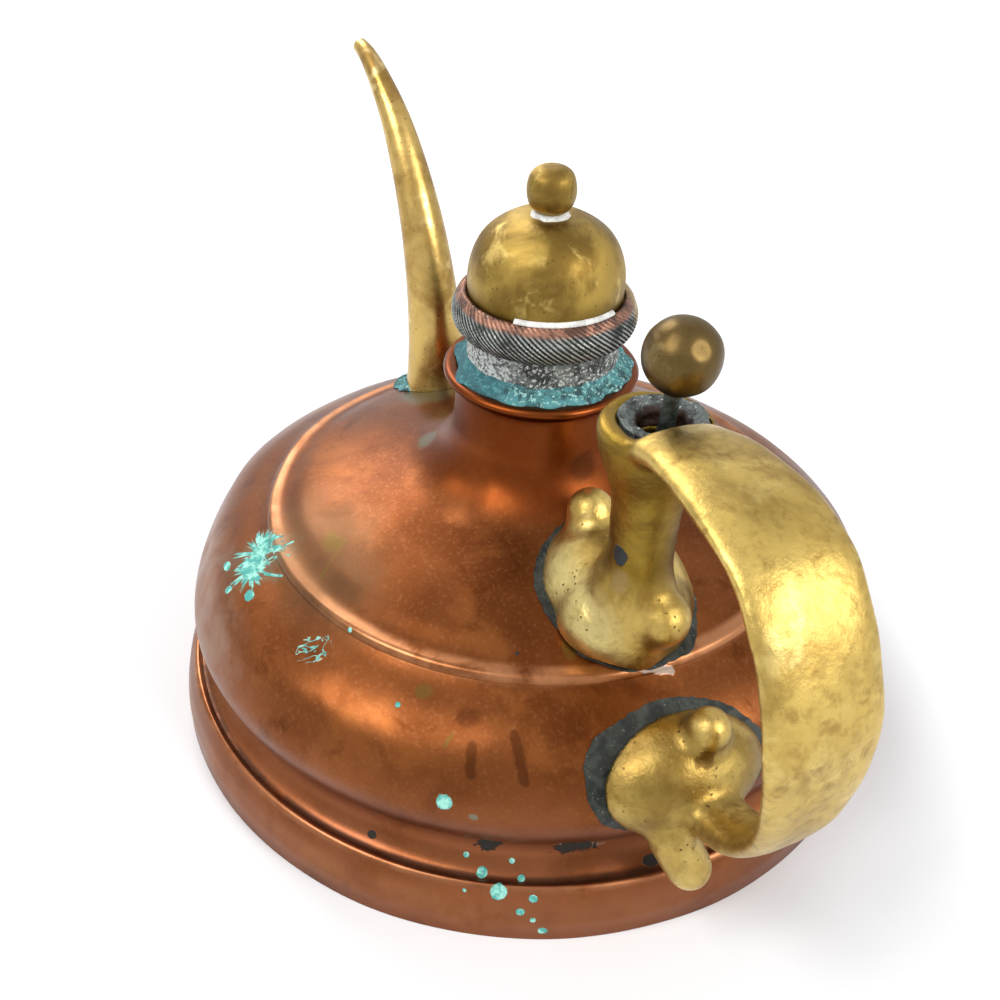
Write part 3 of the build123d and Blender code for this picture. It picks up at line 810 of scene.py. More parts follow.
def make_mottle():
    """Soft patches of tone."""
    mix = Group("Mottle", ("Scale", 50.0), ("Low", 0.4), ("High", 0.6))
    given = mix.given
    cloud = mix.noise(given["Vector"], given["Scale"], 6.0, 0.6, 0.4)["Fac"]
    return mix.give(mix.step(cloud, given["Low"], given["High"]))


def make_blotch():
    """A ragged patch round a place, with a half size along each axis."""
    mix = Group("Blotch", ("Centre", None), ("Half Size", None), ("Ragged", 0.5), ("Grain", 400.0),
                ("Soft", 0.14))
    given = mix.given
    offset = mix.vector("SUBTRACT", given["Vector"], given["Centre"])
    share = mix.vector("DIVIDE", offset, given["Half Size"])
    distance = mix.vector("LENGTH", share)
    cloud = mix.noise(given["Vector"], given["Grain"], 5.0, 0.65, 0.6)["Fac"]
    shifted = mix.math("SUBTRACT", cloud, 0.5)
    reach = mix.math("MULTIPLY_ADD", shifted, given["Ragged"], distance)
    return mix.give(mix.step(reach, 1.0, mix.math("SUBTRACT", 1.0, given["Soft"])))


def make_splash():
    """A splash whose edge runs out in spikes round its centre."""
    mix = Group("Splash", ("Centre", None), ("Reach", 0.002), ("Spikes", 3.0))
    given = mix.given
    offset = mix.vector("SUBTRACT", given["Vector"], given["Centre"])
    cloud = mix.noise(mix.vector("NORMALIZE", offset), given["Spikes"], 3.0, 0.7)["Fac"]
    edge = mix.math("MULTIPLY", given["Reach"], mix.step(cloud, 0.32, 0.7, 0.3, 1.8))
    share = mix.math("DIVIDE", mix.vector("LENGTH", offset), edge)
    return mix.give(mix.step(share, 1.0, 0.8))


def make_streak():
    """A run or a scratch along a straight line."""
    mix = Group("Streak", ("Start", None), ("Along", None), ("Width", 0.0006), ("Ragged", 0.9))
    given = mix.given
    offset = mix.vector("SUBTRACT", given["Vector"], given["Start"])
    travel = mix.math("DIVIDE", mix.vector("DOT_PRODUCT", offset, given["Along"]),
                      mix.vector("DOT_PRODUCT", given["Along"], given["Along"]), clamp=True)
    nearest = mix.vector("MULTIPLY", given["Along"], travel)
    away = mix.vector("LENGTH", mix.vector("SUBTRACT", offset, nearest))
    cloud = mix.math("SUBTRACT", mix.noise(given["Vector"], 650.0, 4.0)["Fac"], 0.5)
    reach = mix.math("MULTIPLY_ADD", cloud, given["Ragged"], mix.math("DIVIDE", away, given["Width"]))
    return mix.give(mix.step(reach, 1.0, 0.45))


def make_specks():
    """Small round specks scattered over a surface."""
    mix = Group("Specks", ("Scale", 400.0), ("Share", 0.2), ("Size", 0.25))
    given = mix.given
    cells = mix.node("ShaderNodeTexVoronoi", ("Vector", given["Vector"]), ("Scale", given["Scale"]),
                     ("Randomness", 1.0))
    draw = mix.node("ShaderNodeSeparateColor", ("Color", cells.outputs["Color"])).outputs[0]
    chosen = mix.math("LESS_THAN", draw, given["Share"])
    cloud = mix.noise(given["Vector"], mix.math("MULTIPLY", given["Scale"], 2.2), 2.0)["Fac"]
    size = mix.math("MULTIPLY", given["Size"], mix.math("MULTIPLY_ADD", cloud, 1.6, 0.1))
    inside = mix.step(cells.outputs["Distance"], size, mix.math("MULTIPLY", size, 0.6))
    return mix.give(mix.math("MULTIPLY", chosen, inside))


def make_scratches():
    """Fine scratches that run one way along a stretched noise."""
    mix = Group("Scratches", ("Stretch", None), ("Scale", 500.0))
    given = mix.given
    drawn = mix.vector("MULTIPLY", given["Vector"], given["Stretch"])
    cloud = mix.noise(drawn, given["Scale"], 3.0, 0.6, 0.2)["Fac"]
    return mix.give(mix.step(cloud, 0.56, 0.68))


MOTTLE = make_mottle()
BLOTCH = make_blotch()
SPLASH = make_splash()
STREAK = make_streak()
SPECKS = make_specks()
SCRATCHES = make_scratches()


class Finish(Mix):
    """A material in the making: a place, a Principled shader and helpers for the shared groups."""

    def __init__(self, name):
        self.material = bpy.data.materials.new(name)
        self.material.use_nodes = True
        super().__init__(self.material.node_tree)
        self.tree.nodes.clear()
        self.place = self.node("ShaderNodeTexCoord").outputs["Object"]
        self.colour = None
        self.shader = self.node("ShaderNodeBsdfPrincipled")
        self.node("ShaderNodeOutputMaterial", ("Surface", self.shader.outputs[0]))

    def use(self, group, *links):
        """Place a shared group and give its mask."""
        return self.node("ShaderNodeGroup", ("Vector", self.place), *links, node_tree=group).outputs["Mask"]

    def mottle(self, scale, low=0.42, high=0.6):
        """Soft patches of tone."""
        return self.use(MOTTLE, ("Scale", scale), ("Low", low), ("High", high))

    def blotch(self, centre, half_size, ragged=0.5, grain=400.0, soft=0.14):
        """A ragged patch at a place in millimetres."""
        return self.use(BLOTCH, ("Centre", Vector(centre) * MM), ("Half Size", Vector(half_size) * MM),
                        ("Ragged", ragged), ("Grain", grain), ("Soft", soft))

    def spots(self, places, ragged=0.8):
        """Round spots, each given as a place and a radius in millimetres."""
        return self.most(*(self.blotch(place[:3], place[3:] * 3, ragged, 700) for place in places))

    def splash(self, centre, reach, spikes=3.0):
        """A splash with spikes at a place in millimetres."""
        return self.use(SPLASH, ("Centre", Vector(centre) * MM), ("Reach", reach * MM), ("Spikes", spikes))

    def streaks(self, width, *lines):
        """Runs between pairs of places in millimetres."""
        return self.most(*(self.use(STREAK, ("Start", Vector(start) * MM),
                                    ("Along", (Vector(end) - Vector(start)) * MM), ("Width", width * MM))
                           for start, end in lines))

    def specks(self, scale, share, size=0.3):
        """Scattered specks."""
        return self.use(SPECKS, ("Scale", scale), ("Share", share), ("Size", size))

    def scratches(self, stretch, scale=500.0):
        """Fine scratches."""
        return self.use(SCRATCHES, ("Stretch", stretch), ("Scale", scale))

    def bump(self, height, distance, strength=1.0):
        """Raise the surface by a height mask, in millimetres."""
        made = self.node("ShaderNodeBump", ("Height", height), ("Distance", distance * MM),
                         ("Strength", strength))
        self.set("Normal", made.outputs["Normal"])

    def lay(self, tone, mask, amount=None):
        """Lay a tone over the colour so far, where a mask is white."""
        self.colour = self.blend(self.share(mask, amount) if amount else mask, self.colour, tone)

    def axes(self):
        """The place's X, Y and Z."""
        return self.node("ShaderNodeSeparateXYZ", ("Vector", self.place)).outputs

    def set(self, socket, source):
        """Set or link a socket of the shader."""
        self.feed(self.shader, (socket, source))


def radius_and_height(finish):
    """Distance from the can's axis and height, in metres."""
    parts = finish.axes()
    squares = [finish.math("MULTIPLY", parts[axis], parts[axis]) for axis in ("X", "Y")]
    across = finish.math("SQRT", finish.total(*squares))
    return across, parts["Z"]


def angle_round(finish):
    """The turn round the can's axis, in radians from -pi to pi."""
    parts = finish.axes()
    return finish.math("ARCTAN2", parts["Y"], parts["X"])


def make_copper():
    """Spun copper with a brown patina, worn pink in places and spattered with verdigris, with painted
    highlights on its beads, a pale haze on the belly that is partly a painted reflection, and painted shade
    round the neck and in its creases.
    """
    finish = Finish("aged_copper_finish")
    across, height = radius_and_height(finish)
    finish.colour = finish.blend(finish.mottle(28, 0.36, 0.62), (0.13, 0.036, 0.009), (0.205, 0.064, 0.019))
    finish.lay((0.27, 0.088, 0.023), finish.mottle(75, 0.5, 0.7), 0.7)
    finish.lay((0.085, 0.02, 0.004), finish.mottle(165, 0.54, 0.72), 0.6)
    grain = finish.noise(finish.place, 1500, 3.0)["Fac"]
    finish.lay((0.42, 0.17, 0.07), finish.step(grain, 0.5, 0.75, 0.0, 0.2))
    # Lighter pink on the bead, the foot's bead and skirt and a patch of the belly: partly rubbed wear, partly
    # painted highlights.
    rubbed_and_highlit = finish.most(
        finish.both(finish.band(height, 38.3, 1.4), finish.step(across, 0.0436, 0.0448)),
        finish.both(finish.band(height, 9.9, 1.0), finish.step(across, 0.0598, 0.0606)),
        finish.share(finish.both(finish.band(height, 4.6, 4.4), finish.step(across, 0.06, 0.0612)), 0.55),
        finish.share(finish.blotch((-52.0, -26.0, 31.0), (10.0, 14.0, 7.0), 0.7, 90, 0.8), 0.6),
    )
    finish.lay((0.44, 0.19, 0.085), finish.both(rubbed_and_highlit, finish.mottle(120, 0.25, 0.6)))
    rosy = finish.share(finish.both(finish.step(height, 0.031, 0.02), finish.mottle(60, 0.3, 0.6)), 0.7)
    finish.lay((0.25, 0.088, 0.04), rosy)
    haze = finish.share(finish.blotch((-8.0, 40.0, 40.0), (24.0, 15.0, 8.0), 0.8, 90, 0.7), 0.75)
    finish.lay((0.13, 0.066, 0.031), haze)
    # Pale chalky haze on the left of the belly, partly a painted reflection.
    chalky_haze_and_reflection = finish.share(finish.blotch((4.0, 58.0, 27.0), (30.0, 10.0, 11.0), 1.0, 110, 0.7), 0.7)
    finish.lay((0.29, 0.175, 0.12), finish.both(chalky_haze_and_reflection, finish.mottle(200, 0.3, 0.6)))
    # Painted shade: the neck and its foot, under the rolled lip, are painted darker.
    neck_shade = finish.both(finish.step(across, 0.023, 0.017), finish.step(height, 0.045, 0.048))
    finish.lay((0.16, 0.034, 0.006), neck_shade, 0.7)
    roughness = finish.step(finish.mottle(45, 0.35, 0.7), 0.0, 1.0, 0.31, 0.45)

    runs = finish.most(
        finish.share(finish.streaks(1.0, ((-47.7, 28.0, 32.8), (-50.3, 29.1, 29.7)),
                                    ((-48.9, 21.9, 34.0), (-51.8, 22.1, 32.0)),
                                    ((-51.8, 22.1, 32.0), (-53.8, 22.1, 29.5))), 0.6),
        finish.share(finish.blotch((-44.3, 27.4, 34.8), (2.6, 2.6, 1.2), 0.9, 300, 0.6), 0.55),
        finish.share(finish.blotch((-14.6, -2.0, 53.0), (2.4, 3.6, 3.6), 1.0, 260, 0.6), 0.7),
        finish.share(finish.blotch((-57.5, 12.0, 11.5), (4.0, 12.0, 3.0), 1.0, 160, 0.7), 0.45),
    )
    finish.lay((0.06, 0.017, 0.006), runs)
    olive = finish.most(
        finish.blotch((-6.4, 37.5, 41.0), (3.2, 2.4, 1.6), 1.2, 260, 0.5),
        finish.blotch((-38.0, 32.2, 35.8), (1.8, 1.6, 1.2), 1.2, 300, 0.5),
        finish.blotch((-40.5, 10.2, 39.6), (2.6, 1.4, 1.4), 1.2, 300, 0.5),
        finish.streaks(0.45, ((-7.1, 35.8, 41.6), (-12.0, 41.0, 39.0)),
                       ((-45.0, 29.5, 34.3), (-46.0, 31.5, 32.0))),
    )
    finish.lay((0.13, 0.085, 0.02), olive, 0.6)
    white = finish.streaks(0.8, ((-44.5, 3.4, 38.9), (-46.4, 0.4, 38.1)),
                           ((-46.4, 0.4, 38.1), (-46.9, -3.6, 37.2)),
                           ((-55.3, 16.0, 14.1), (-57.2, 9.0, 14.0)))
    finish.lay((0.5, 0.42, 0.35), white, 0.75)

    # Dark lines in the seam under the belly, the groove below the bead and the step of the foot: partly dirt
    # in the creases, partly painted shade.
    seam = finish.both(finish.band(height, 15.2, 1.2), finish.step(across, 0.0586, 0.0575))
    groove = finish.both(finish.band(height, 37.4, 0.6), finish.band(across, 47.9, 1.1))
    step_line = finish.both(finish.band(height, 9.7, 0.7), finish.band(across, 60.2, 1.0))
    crease_dirt_and_shade = finish.most(finish.share(seam, 0.75), finish.share(groove, 0.5), finish.share(step_line, 0.65))
    crease_dirt_and_shade = finish.both(crease_dirt_and_shade, finish.mottle(170, 0.3, 0.56))
    finish.lay((0.028, 0.012, 0.006), crease_dirt_and_shade)

    corroded = finish.most(
        finish.blotch((-50.9, 26.0, 14.0), (2.0, 2.0, 1.5), 2.4, 800),
        finish.blotch((-55.3, 13.8, 14.0), (1.6, 4.0, 1.3), 2.6, 800),
        finish.blotch((-41.2, 41.6, 10.8), (0.8, 0.8, 0.6), 0.9),
        finish.blotch((-38.4, 17.8, 39.3), (0.35, 0.35, 0.35), 0.4),
        finish.blotch((-59.0, 2.6, 10.1), (0.9, 1.6, 1.2), 1.2),
    )
    finish.lay((0.018, 0.013, 0.009), corroded)

    splash = finish.most(
        finish.splash((0.6, 48.5, 36.5), 3.6, 3.0),
        finish.splash((-2.6, 50.4, 35.4), 3.0, 3.6),
        finish.blotch((-7.6, 51.9, 34.4), (1.3, 1.0, 0.9), 1.0, 600),
        finish.blotch((2.4, 54.0, 33.4), (1.4, 0.7, 0.9), 1.1, 600),
        finish.blotch((-3.5, 54.7, 33.1), (0.8, 0.8, 0.9), 1.0, 600),
        finish.streaks(0.35, ((-1.6, 46.6, 37.6), (-1.6, 43.4, 39.0)),
                       ((-2.6, 47.0, 37.3), (-4.4, 44.6, 38.4)), ((-5.0, 48.8, 36.2), (-7.2, 46.6, 37.0))),
    )
    around = finish.blotch((-1.0, 49.0, 36.0), (8.0, 8.0, 8.0), 1.6, 300, 0.6)
    spatter = finish.both(around, finish.specks(560, 0.3, 0.3))
    spots = finish.spots([
        (-50.3, 32.9, 25.4, 1.3), (-49.9, 29.2, 11.5, 0.5), (-52.6, 27.6, 9.9, 0.9), (-53.1, 23.0, 11.4, 0.5),
        (-55.4, 22.3, 9.7, 0.6), (-56.2, 26.2, 9.1, 1.4), (-58.4, 21.5, 8.4, 0.7), (-58.5, 23.5, 6.1, 0.7),
        (-59.5, 21.8, 4.6, 0.5), (-60.1, 20.4, 2.2, 0.8), (-24.2, 39.5, 37.9, 0.45),
        (-38.4, 36.2, 34.6, 0.45),
    ])
    wave = finish.noise(finish.place, 300, 2.0, 0.5, 1.5)["Fac"]
    trace = finish.step(finish.math("ABSOLUTE", finish.math("SUBTRACT", wave, 0.5)), 0.03, 0.012)
    squiggle = finish.both(trace, finish.blotch((-23.6, 45.4, 35.2), (2.6, 3.6, 2.4), 0.6, 300))
    low_area = finish.blotch((-56.0, 25.0, 12.0), (7.0, 9.0, 16.0), 0.6, 120)
    droplets = finish.both(low_area, finish.specks(330, 0.2, 0.16))
    verdigris = finish.most(splash, spatter, spots, droplets, finish.share(squiggle, 0.8))
    film = finish.most(
        finish.share(finish.blotch((31.0, 9.8, 43.0), (9.0, 7.0, 4.0), 1.4, 150, 0.6), 0.5),
        finish.share(finish.blotch((8.6, 17.2, 47.6), (3.0, 2.6, 3.4), 1.4, 220, 0.6), 0.5),
        finish.share(finish.blotch((-53.1, 29.4, 23.9), (0.9, 0.9, 0.7), 0.8, 500, 0.5), 0.6),
        finish.share(around, 0.22),
    )
    finish.lay((0.14, 0.2, 0.14), film)
    green = finish.blend(finish.mottle(700, 0.42, 0.6), (0.07, 0.36, 0.31), (0.34, 0.72, 0.6))
    finish.lay(green, verdigris)
    crust = finish.most(verdigris, corroded, finish.share(white, 0.7))
    finish.set("Base Color", finish.colour)
    dull = finish.most(crust, finish.share(film, 0.6), finish.share(chalky_haze_and_reflection, 0.4), finish.share(crease_dirt_and_shade, 0.5))
    finish.set("Metallic", finish.math("SUBTRACT", 1.0, dull))
    finish.set("Roughness", finish.most(roughness, finish.share(crust, 0.85), finish.share(crease_dirt_and_shade, 0.7)))
    spin_lines = finish.noise(finish.node("ShaderNodeCombineXYZ", ("X", finish.share(across, 2600.0)),
                                          ("Y", finish.share(height, 2600.0))).outputs[0], 1.0, 2.0)["Fac"]
    relief = finish.total(finish.share(grain, 0.08), finish.share(crust, 1.6), finish.share(spin_lines, 0.08),
                          finish.share(finish.noise(finish.place, 240, 4.0)["Fac"], 0.4))
    finish.bump(relief, 0.10, 0.6)
    return finish.material


def make_cast_brass():
    """Cast brass: a worn yellow strap, a column painted dark with painted shade and reflected copper, brown
    feet, a painted highlight on the +Y side of the upper foot and a darker lower part, with pits and stains.
    """
    finish = Finish("cast_brass_finish")
    parts = finish.axes()
    level = finish.vector("MULTIPLY", finish.place, (1, 1, 0))
    off_column = finish.vector("DISTANCE", level, (COLUMN_X * MM, 0, 0))
    finish.colour = finish.blend(finish.mottle(60, 0.36, 0.62), (0.38, 0.25, 0.065), (0.6, 0.425, 0.12))
    finish.lay((0.78, 0.6, 0.22), finish.mottle(130, 0.5, 0.7), 0.6)
    finish.lay((0.24, 0.13, 0.026), finish.mottle(240, 0.53, 0.7), 0.6)
    # Painted shade and reflected copper: the column is painted dark olive-brown.
    column_shade_tone = finish.blend(finish.mottle(110, 0.38, 0.62), (0.15, 0.088, 0.012), (0.27, 0.17, 0.022))
    column_part = finish.both(finish.step(off_column, 0.0094, 0.0080),
                              finish.step(parts["Z"], 0.0475, 0.0555),
                              finish.step(parts["Z"], 0.0787, 0.0776))
    finish.lay(column_shade_tone, column_part, 0.92)
    feet = finish.blend(finish.mottle(150, 0.4, 0.62), (0.19, 0.115, 0.02), (0.42, 0.3, 0.08))
    foot_part = finish.most(
        finish.share(finish.blotch((-61.5, -1.7, 28.0), (6.5, 15.5, 11.0), 0.6, 150, 0.3), 0.8),
        finish.share(finish.blotch((-42.5, -7.5, 43.0), (8.0, 9.0, 6.5), 0.8, 150, 0.5), 0.8),
    )
    finish.lay(feet, foot_part)
    # Painted highlight: the +Y side of the casting between 37 and 52 mm up, mostly the upper foot, is
    # lighter.
    side_highlight = finish.both(finish.step(parts["Y"], 0.0025, 0.008), finish.step(parts["Z"], 0.052, 0.047),
                       finish.step(parts["Z"], 0.037, 0.039), finish.mottle(130, 0.25, 0.5))
    finish.lay((0.66, 0.56, 0.24), side_highlight, 0.75)
    pits = finish.both(finish.specks(1200, 0.45, 0.32), finish.mottle(170, 0.5, 0.62),
                       finish.step(off_column, 0.03, 0.026), finish.step(parts["Z"], 0.056, 0.051))
    # Darker towards the bottom of the casting.
    darker_below = finish.both(finish.step(parts["Z"], 0.05, 0.034), finish.mottle(90, 0.3, 0.6))
    finish.lay((0.3, 0.19, 0.055), darker_below, 0.4)
    finish.lay((0.07, 0.04, 0.012), pits, 0.8)
    black = finish.blotch((-42.0, 4.9, 57.2), (1.6, 1.4, 1.8), 0.7, 700)
    stain = finish.blotch((-43.2, 5.3, 53.6), (2.6, 2.6, 2.4), 1.2, 400, 0.4)
    finish.lay((0.3, 0.21, 0.1), stain, 0.55)
    fine = finish.mottle(620, 0.48, 0.66)
    finish.lay((0.17, 0.1, 0.022), fine, 0.25)
    brown_spots = finish.spots([(-83.0, 5.0, 44.5, 1.5), (-81.6, 4.0, 39.8, 1.2), (-46.6, -5.4, 42.0, 1.9),
                                (-62.0, -2.0, 34.0, 1.7)], 1.6)
    finish.lay((0.1, 0.05, 0.012), brown_spots, 0.7)
    finish.lay((0.012, 0.018, 0.02), black)
    finish.set("Base Color", finish.colour)
    finish.set("Metallic", finish.math("SUBTRACT", 1.0, finish.share(black, 0.8)))
    finish.set("Roughness", finish.step(finish.mottle(90, 0.3, 0.7), 0.0, 1.0, 0.32, 0.44))
    sand = finish.noise(finish.place, 620, 6.0, 0.65)["Fac"]
    relief = finish.math("SUBTRACT", sand, finish.share(pits, 1.2))
    finish.bump(finish.total(relief, finish.share(black, 0.8)), 0.18, 0.7)
    return finish.material


def make_plain_brass(name, dark, light, bright, roughness, stretch=(1, 1, 1), shaded=None):
    """Turned or drawn brass with a soft patina and fine scratches, darker below a height if one is given."""
    finish = Finish(name)
    finish.colour = finish.blend(finish.mottle(95, 0.36, 0.62), dark, light)
    finish.lay(bright, finish.mottle(210, 0.54, 0.72))
    if shaded:
        # Darker below the given height.
        height = finish.axes()["Z"]
        wave = finish.math("MULTIPLY_ADD", finish.noise(finish.place, 160, 3.0)["Fac"], 0.004, height)
        low = finish.step(wave, (shaded + 5.5) * MM, (shaded + 1.0) * MM)
        finish.lay((0.14, 0.085, 0.012), low, 0.8)
    lines = finish.scratches(stretch, 900.0)
    finish.lay(dark, lines, 0.25)
    specks = finish.specks(1500, 0.07, 0.3)
    finish.lay((0.05, 0.035, 0.015), specks, 0.7)
    finish.set("Base Color", finish.colour)
    finish.set("Metallic", 1.0)
    uneven = finish.mottle(130, 0.3, 0.7)
    finish.set("Roughness", finish.step(uneven, 0.0, 1.0, roughness - 0.05, roughness + 0.08))
    relief = finish.math("ADD", finish.share(lines, 0.35), finish.noise(finish.place, 700, 4.0)["Fac"])
    finish.bump(relief, 0.06, 0.5)
    return finish.material


def make_knurled():
    """Dark knurled brass, silvered on the ridges, worn to brass on one side and red-brown on top."""
    finish = Finish("knurled_brass_finish")
    height = finish.axes()["Z"]
    turn = finish.math("MULTIPLY_ADD", finish.math("SUBTRACT", height, KNURL_MIDDLE * MM), KNURL_LEAN / MM,
                       angle_round(finish))
    ridge = finish.math("ABSOLUTE", finish.math("SINE", finish.share(turn, KNURLS / 2)))
    grit = finish.noise(finish.place, 1900, 4.0, 0.7)["Fac"]
    crest = finish.step(finish.math("MULTIPLY_ADD", grit, 0.7, ridge), 0.98, 1.22)
    silvered = finish.both(crest, finish.mottle(240, 0.3, 0.55))
    finish.colour = finish.blend(silvered, (0.025, 0.028, 0.026), (0.36, 0.375, 0.35))
    red = finish.blend(finish.mottle(420, 0.4, 0.6), (0.1, 0.055, 0.042), (0.3, 0.15, 0.1))
    finish.lay(red, finish.both(finish.step(height, 0.0763, 0.0771), finish.mottle(200, 0.2, 0.45)))
    worn = finish.blotch((-4.0, -14.2, 75.6), (6.5, 6.0, 3.4), 0.9, 240, 0.4)
    finish.lay((0.42, 0.3, 0.12), worn, 0.85)
    finish.set("Base Color", finish.colour)
    finish.set("Metallic", 0.9)
    finish.set("Roughness", finish.step(grit, 0.3, 0.7, 0.5, 0.32))
    finish.bump(finish.math("ADD", grit, ridge), 0.12, 0.7)
    return finish.material


def make_crust(name, dark, light, chalk, chalk_share, metallic=0.0, roughness=0.8, left=None, hole=None):
    """Crust in three tones, with another on its left side and painted shade round a hole if they are given.
    """
    finish = Finish(name)
    finish.colour = finish.blend(finish.mottle(420, 0.38, 0.6), dark, light)
    fine = finish.noise(finish.place, 1700, 4.0, 0.7)["Fac"]
    flecks = finish.step(fine, 0.66 - chalk_share * 0.3, 0.72 - chalk_share * 0.3)
    finish.lay(chalk, flecks)
    if left:
        turn = angle_round(finish)
        side = finish.both(finish.step(turn, 2.55, 2.15), finish.step(turn, 0.4, 1.0))
        finish.lay(left, finish.both(side, finish.step(fine, 0.4, 0.56)))
    # Painted shade on the inner edge round the hole.
    if hole:
        level = finish.vector("MULTIPLY", finish.place, (1, 1, 0))
        inside = finish.step(finish.vector("DISTANCE", level, Vector(hole) * MM), 0.0042, 0.0036)
        finish.lay((0.03, 0.012, 0.006), inside)
    finish.set("Base Color", finish.colour)
    finish.set("Metallic", metallic)
    finish.set("Roughness", roughness)
    relief = finish.noise(finish.place, 1500, 5.0, 0.7)["Fac"]
    finish.bump(relief, 0.22, 0.9)
    return finish.material


COPPER = make_copper()
CAST_BRASS = make_cast_brass()
SPOUT_BRASS = make_plain_brass(
    "spout_brass_finish", (0.32, 0.19, 0.05), (0.58, 0.4, 0.13), (0.76, 0.58, 0.26), 0.32, (1, 1, 0.08))
DOME_BRASS = make_plain_brass(
    "dome_brass_finish", (0.18, 0.11, 0.025), (0.4, 0.27, 0.065), (0.56, 0.41, 0.13), 0.48, (1, 1, 0.2), 78.2)
KNOB_BRASS = make_plain_brass(
    "knob_brass_finish", (0.07, 0.042, 0.014), (0.13, 0.085, 0.03), (0.21, 0.15, 0.065), 0.36)
VALVE_BRASS = make_plain_brass(
    "valve_brass_finish", (0.32, 0.22, 0.09), (0.5, 0.36, 0.16), (0.66, 0.5, 0.25), 0.3)
STEEL = make_plain_brass(
    "spring_steel_finish", (0.28, 0.28, 0.28), (0.45, 0.45, 0.46), (0.6, 0.6, 0.6), 0.3)
KNURLED = make_knurled()
COLLAR_CRUST = make_crust(
    "tinned_collar_finish", (0.025, 0.027, 0.025), (0.16, 0.17, 0.155), (0.6, 0.62, 0.58), 0.42,
    metallic=0.3, roughness=0.6, left=(0.6, 0.62, 0.6))
VERDIGRIS = make_crust(
    "verdigris_finish", (0.025, 0.07, 0.075), (0.09, 0.29, 0.3), (0.38, 0.66, 0.6), 0.36,
    left=(0.03, 0.13, 0.15))
DARK_SOLDER = make_crust(
    "dark_solder_finish", (0.012, 0.015, 0.012), (0.045, 0.05, 0.042), (0.3, 0.31, 0.28), 0.06,
    metallic=0.3, roughness=0.6)
CUP_SOLDER = make_crust(
    "cup_solder_finish", (0.03, 0.032, 0.03), (0.13, 0.15, 0.14), (0.48, 0.54, 0.5), 0.24,
    metallic=0.4, roughness=0.5, hole=CUP_HOLE)
CHALK = make_crust(
    "chalk_finish", (0.62, 0.6, 0.55), (0.82, 0.81, 0.78), (0.9, 0.9, 0.88), 0.4, roughness=0.9)
DARK_ROD = make_crust(
    "rod_finish", (0.02, 0.025, 0.022), (0.07, 0.08, 0.07), (0.2, 0.24, 0.22), 0.1,
    metallic=0.7, roughness=0.45)
CORK = make_crust(
    "cork_finish", (0.2, 0.11, 0.05), (0.42, 0.27, 0.14), (0.55, 0.4, 0.24), 0.2)
LEATHER = make_crust(
    "leather_finish", (0.06, 0.03, 0.015), (0.14, 0.075, 0.035), (0.22, 0.13, 0.07), 0.1, roughness=0.65)

FINISHES = [
    (COPPER, [copper_body, copper_foot]),
    (CAST_BRASS, [handle_casting]),
    (SPOUT_BRASS, [spout_lower, spout_upper]),
    (VERDIGRIS, [spout_fillet, collar_crust]),
    (COLLAR_CRUST, [filler_collar]),
    (DARK_SOLDER, [upper_solder, lower_solder]),
    (CUP_SOLDER, [cup_ring]),
    (KNURLED, [cap_ring]),
    (DOME_BRASS, [cap_dome, finial_ball]),
    (KNOB_BRASS, [valve_knob]),
    (CHALK, [finial_residue, groove_residue]),
    (DARK_ROD, [valve_rod]),
    (STEEL, [valve_spring]),
]
NODE_FINISHES = [
    (COPPER, ["bottom_plate"]), (CORK, ["cap_gasket"]), (LEATHER, ["valve_washer"]),
    (VALVE_BRASS, ["valve_seat", "cap_backing_plate", "finial_stud", "spring_collar", "valve_disc",
                   "valve_nut"]),
]
for material, nodes in NODE_FINISHES:
    FINISHES.append((material, [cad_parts[node] for node in nodes]))
for material, pieces in FINISHES:
    for piece in pieces:
        piece.data.materials.clear()
        piece.data.materials.append(material)

# Floor, light and camera, in metres
FLOOR_SIZE = 6.0
FLOOR_GAP = 0.0001
deselect()
bpy.ops.mesh.primitive_plane_add(size=FLOOR_SIZE, location=(0, 0, -FLOOR_GAP))
floor = bpy.context.object
floor.name = "studio_floor"
paper = Finish("floor_paper")
paper.set("Base Color", (0.86, 0.86, 0.86, 1))
paper.set("Roughness", 0.9)
floor.data.materials.append(paper.material)

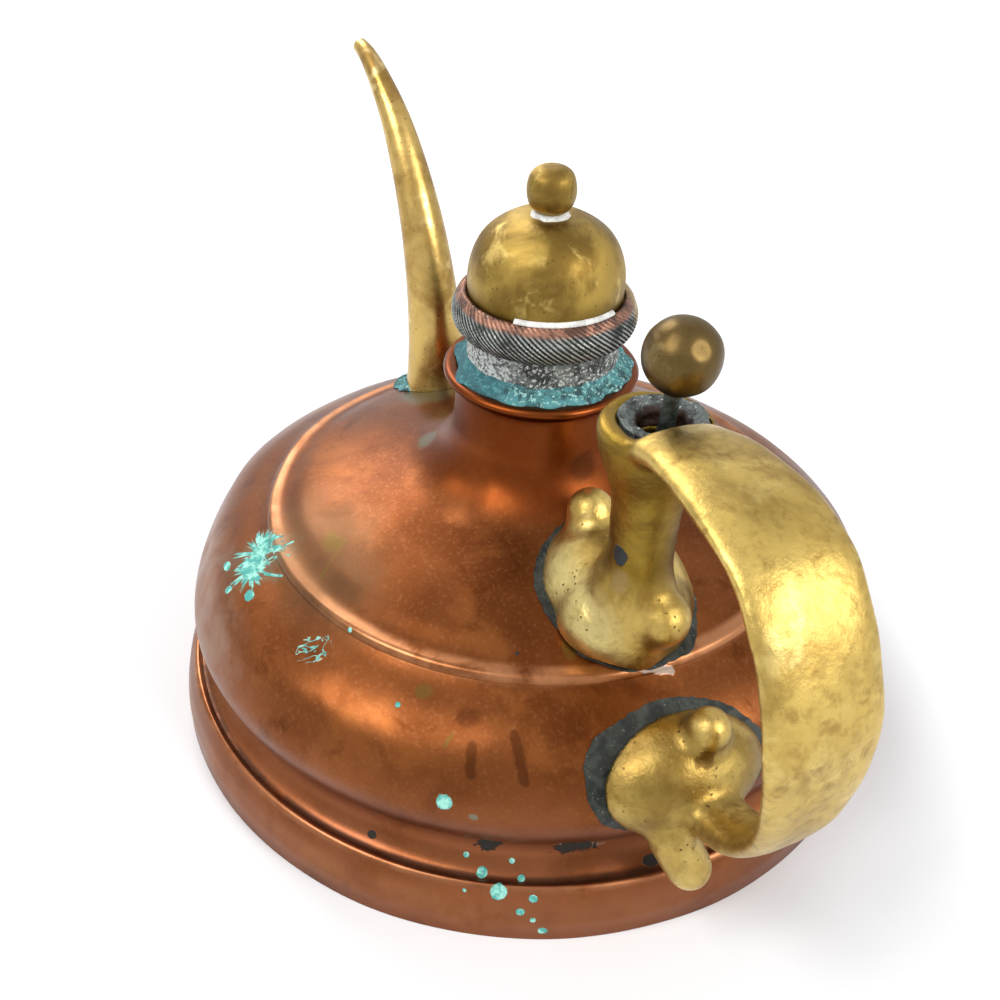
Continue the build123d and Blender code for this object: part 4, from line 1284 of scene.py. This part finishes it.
world = bpy.data.worlds.new("studio")
bpy.context.scene.world = world
world.use_nodes = True
sky = Mix(world.node_tree)
sky.tree.nodes.clear()
rays = sky.node("ShaderNodeLightPath").outputs
seen = sky.most(rays["Is Camera Ray"], rays["Is Glossy Ray"], rays["Is Transmission Ray"])
ambient = sky.node("ShaderNodeBackground", ("Color", (0.92, 0.95, 1.0, 1)), ("Strength", 0.55)).outputs[0]
backdrop = sky.node("ShaderNodeBackground", ("Color", (1, 1, 1, 1)), ("Strength", 0.9)).outputs[0]
both = sky.node("ShaderNodeMixShader", ("Fac", seen), (1, ambient), (2, backdrop)).outputs[0]
sky.node("ShaderNodeOutputWorld", ("Surface", both))


def soft_box(name, place, aim, size, watts):
    """A square soft light that faces a place, both in metres."""
    lamp = bpy.data.lights.new(name, "AREA")
    lamp.size = size
    lamp.energy = watts
    holder = bpy.data.objects.new(name, lamp)
    bpy.context.scene.collection.objects.link(holder)
    holder.location = place
    holder.rotation_euler = (Vector(aim) - Vector(place)).to_track_quat("-Z", "Y").to_euler()


# Name, place, aim, size and watts of each lamp
for lamp_values in [
    ("key", (-0.1, 0.75, 1.0), (0, 0, 0.04), 0.6, 8),
    ("fill", (-0.9, -0.6, 0.8), (0, 0, 0.04), 0.6, 10),
    ("back", (0.8, 0.1, 0.7), (0, 0, 0.05), 0.5, 5),
]:
    soft_box(*lamp_values)

# The camera stands on the handle's side, above it
CAMERA_PLACE = (-0.1582, 0.0688, 0.16175)
CAMERA_HEADING = 338.45
CAMERA_TILT = 35.99
CAMERA_LEAN = 2.29
CAMERA_LENS = 43.17
SENSOR_WIDTH = 36
heading = radians(CAMERA_HEADING)
tilt = radians(CAMERA_TILT)
lean = radians(CAMERA_LEAN)
ahead = Vector((cos(heading) * cos(tilt), sin(heading) * cos(tilt), -sin(tilt)))
level_right = Vector((sin(heading), -cos(heading), 0))
level_up = level_right.cross(ahead)
right = cos(lean) * level_right + sin(lean) * level_up
up = cos(lean) * level_up - sin(lean) * level_right
camera_data = bpy.data.cameras.new("camera")
camera_data.lens = CAMERA_LENS
camera_data.sensor_width = SENSOR_WIDTH
camera_data.clip_start = 0.01
camera = bpy.data.objects.new("camera", camera_data)
bpy.context.scene.collection.objects.link(camera)
camera.matrix_world = Matrix.Translation(CAMERA_PLACE) @ Matrix((right, up, -ahead)).transposed().to_4x4()
bpy.context.scene.camera = camera
bpy.context.scene.view_settings.view_transform = "Standard"
